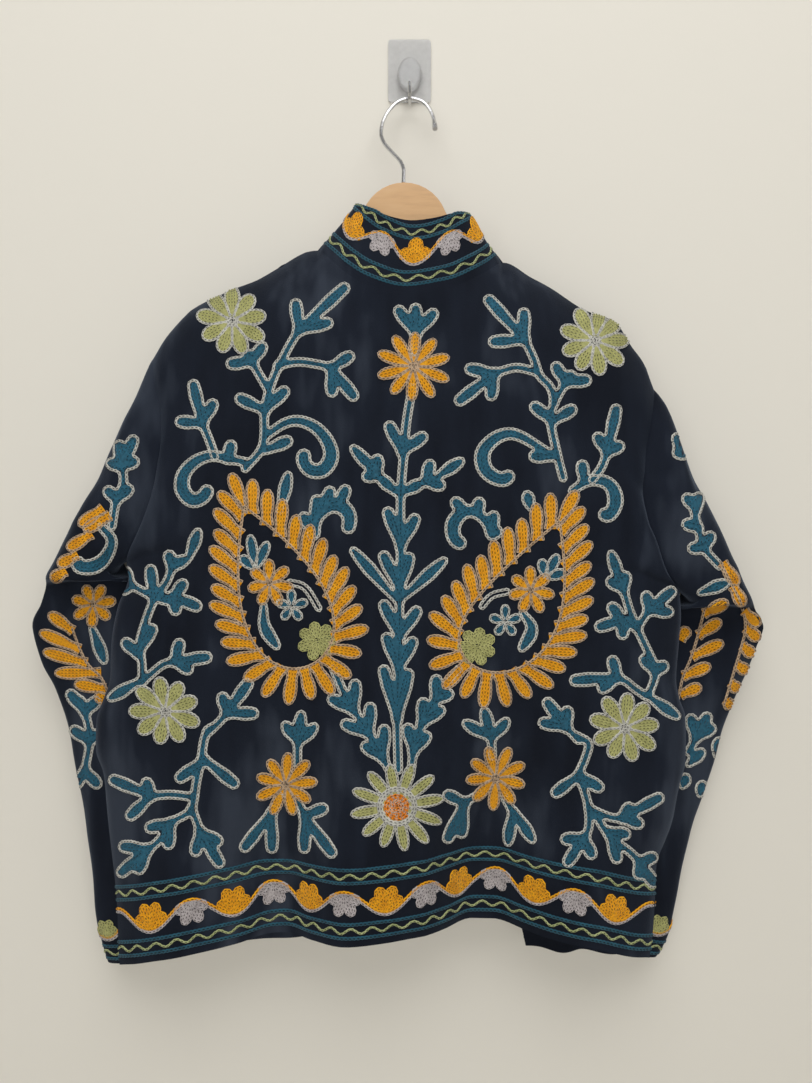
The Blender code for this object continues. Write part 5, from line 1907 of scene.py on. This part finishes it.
# %% Yarn materials
Wool = namedtuple("Wool", "dark light")
WOOLS = {
    "cream": Wool((0.42, 0.41, 0.37), (0.70, 0.69, 0.62)),
    "tan": Wool((0.38, 0.26, 0.16), (0.66, 0.48, 0.32)),
    "teal": Wool((0.009, 0.073, 0.118), (0.021, 0.152, 0.24)),
    "dark_teal": Wool((0.009, 0.055, 0.085), (0.022, 0.11, 0.16)),
    "yellow": Wool((0.70, 0.28, 0.002), (0.96, 0.46, 0.006)),
    "orange": Wool((0.66, 0.17, 0.002), (0.94, 0.29, 0.004)),
    "olive": Wool((0.34, 0.34, 0.12), (0.56, 0.55, 0.22)),
    "pale_green": Wool((0.32, 0.36, 0.15), (0.53, 0.57, 0.28)),
    "lavender": Wool((0.38, 0.34, 0.34), (0.60, 0.55, 0.55)),
}


def wool_material(name, wool):
    material, tree, shader = new_material(name, {"Roughness": 0.85, "Sheen Weight": 0.12,
                                                 "Sheen Roughness": 0.5, "Specular IOR Level": 0.25})
    uv = add_node(tree, "UVMap", uv_map="stitches")
    chain = add_node(tree, "Group", node_tree=CHAIN)
    tree.links.new(uv.outputs["UV"], chain.inputs["Vector"])
    dye = ramp(tree, noise(tree, object_place(tree), 160, 3, 0.65), [(0.3, wool.dark), (0.7, wool.light)])
    hole_shaded = add_node(tree, "Mix", data_type="RGBA")
    tree.links.new(chain.outputs["Hole"], hole_shaded.inputs["Factor"])
    tree.links.new(dye, hole_shaded.inputs["A"])
    # painted shade: the loop's hole takes a tenth of the yarn's dark tone, partly the velvet showing
    # through and partly shade in the hollow
    hole_shaded.inputs["B"].default_value = (*[0.1 * value for value in wool.dark], 1)
    tree.links.new(hole_shaded.outputs["Result"], shader.inputs["Base Color"])
    add_bump(tree, shader, chain.outputs["Twist"], 0.5, 0.0003)
    return material


def ground_material(name, wool):
    material, tree, shader = new_material(name, {"Roughness": 0.9})
    dark, light = ([0.75 * value for value in tone] for tone in wool)
    dye = ramp(tree, noise(tree, object_place(tree), 420, 3, 0.7), [(0.35, dark), (0.7, light)])
    tree.links.new(dye, shader.inputs["Base Color"])
    return material


# %% [markdown]
# ## Stitches as meshes
# All rows of one yarn on one piece become one object, and so do the flat grounds under its filled
# shapes. Each rides with its piece and takes the place of the same solid.


# %% Stitch meshes
def stitch_mesh(name, rows):
    """One mesh from many rows, with their UVs."""
    points, faces, uvs, start = [], [], [], 0
    for row_points, row_faces, row_uv in rows:
        points.append(row_points)
        faces.append(row_faces + start)
        uvs.append(row_uv)
        start += len(row_points)
    points, faces, uvs = (np.concatenate(a) for a in (points, faces, uvs))
    mesh = mesh_from(name, points, faces)
    layer = mesh.uv_layers.new(name="stitches")
    layer.data.foreach_set("uv", uvs[faces.reshape(-1)].astype(np.float32).reshape(-1))
    return mesh


wools = {name: wool_material("wool_" + name, wool) for name, wool in WOOLS.items()}
grounds = {name: ground_material("wool_ground_" + name, WOOLS[name]) for node, name in PATCHES}
total = 0
for (node, yarn), rows in ROWS.items():
    name = f"{node}_{yarn}"
    thing = add_object(name, stitch_mesh(name, rows))
    thing.data.materials.append(wools[yarn])
    carry(thing, node)
    triangles = 2 * len(thing.data.polygons)
    total += triangles
    print(name, triangles)
for (node, yarn), parts in PATCHES.items():
    name = f"{node}_{yarn}_ground"
    counts = np.cumsum([0] + [len(points) for points, faces in parts])
    points = np.concatenate([points for points, faces in parts])
    faces = np.concatenate([faces + start for (_, faces), start in zip(parts, counts)])
    thing = add_object(name, mesh_from(name, points, faces))
    thing.data.materials.append(grounds[yarn])
    carry(thing, node)
    total += 2 * len(thing.data.polygons)
print("embroidery triangles", total)

# %% [markdown]
# ## Hanger and wall hook
# The hanger is a varnished beech board with a polished steel hook, and the hook plate is frosted
# clear plastic with a bent wire. The solids already have their form, so they keep it and take
# procedural materials: wood grain that runs along the arms, steel with fine drawing marks.


# %% Hanger materials
def beech_material():
    material, tree, shader = new_material("beech", {"Roughness": 0.35, "Coat Weight": 0.5,
                                                    "Coat Roughness": 0.15})
    place = object_place(tree)
    grain = noise(tree, stretched(tree, place, (14, 60, 90)), 1.6, 5, 0.6)
    flecks = noise(tree, stretched(tree, place, (90, 400, 700)), 1.0, 2, 0.5)
    colour = ramp(tree, maths(tree, "MULTIPLY_ADD", flecks, 0.25, grain),
                  [(0.35, (0.48, 0.28, 0.12)), (0.62, (0.56, 0.33, 0.145)), (0.85, (0.59, 0.36, 0.17))])
    tree.links.new(colour, shader.inputs["Base Color"])
    return material


def steel_material():
    material, tree, shader = new_material("steel", {"Metallic": 1.0, "Base Color": (0.62, 0.62, 0.63, 1)})
    marks = noise(tree, stretched(tree, object_place(tree), (900, 900, 120)), 1.0, 2)
    rough = set_inputs(add_node(tree, "MapRange"), {"To Min": 0.16, "To Max": 0.32})
    tree.links.new(marks, rough.inputs["Value"])
    tree.links.new(rough.outputs["Result"], shader.inputs["Roughness"])
    return material


def clear_material():
    material, tree, shader = new_material("clear_plastic", {
        "Roughness": 0.28, "Transmission Weight": 0.75, "IOR": 1.46})
    cloud = noise(tree, object_place(tree), 240, 3, 0.6)
    colour = ramp(tree, cloud, [(0.3, grey(0.78)), (0.7, grey(0.9))])
    tree.links.new(colour, shader.inputs["Base Color"])
    add_bump(tree, shader, cloud, 0.25, 0.0004)
    return material


def dress(names, material):
    """Puts the material on each named solid's own slots."""
    for name in names:
        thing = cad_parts[name]
        for slot in thing.material_slots:
            slot.link = "OBJECT"
            slot.material = material


dress(["hanger_board"], beech_material())
dress(["hanger_hook", "wall_peg"], steel_material())
dress(["wall_plate", "wall_pad"], clear_material())
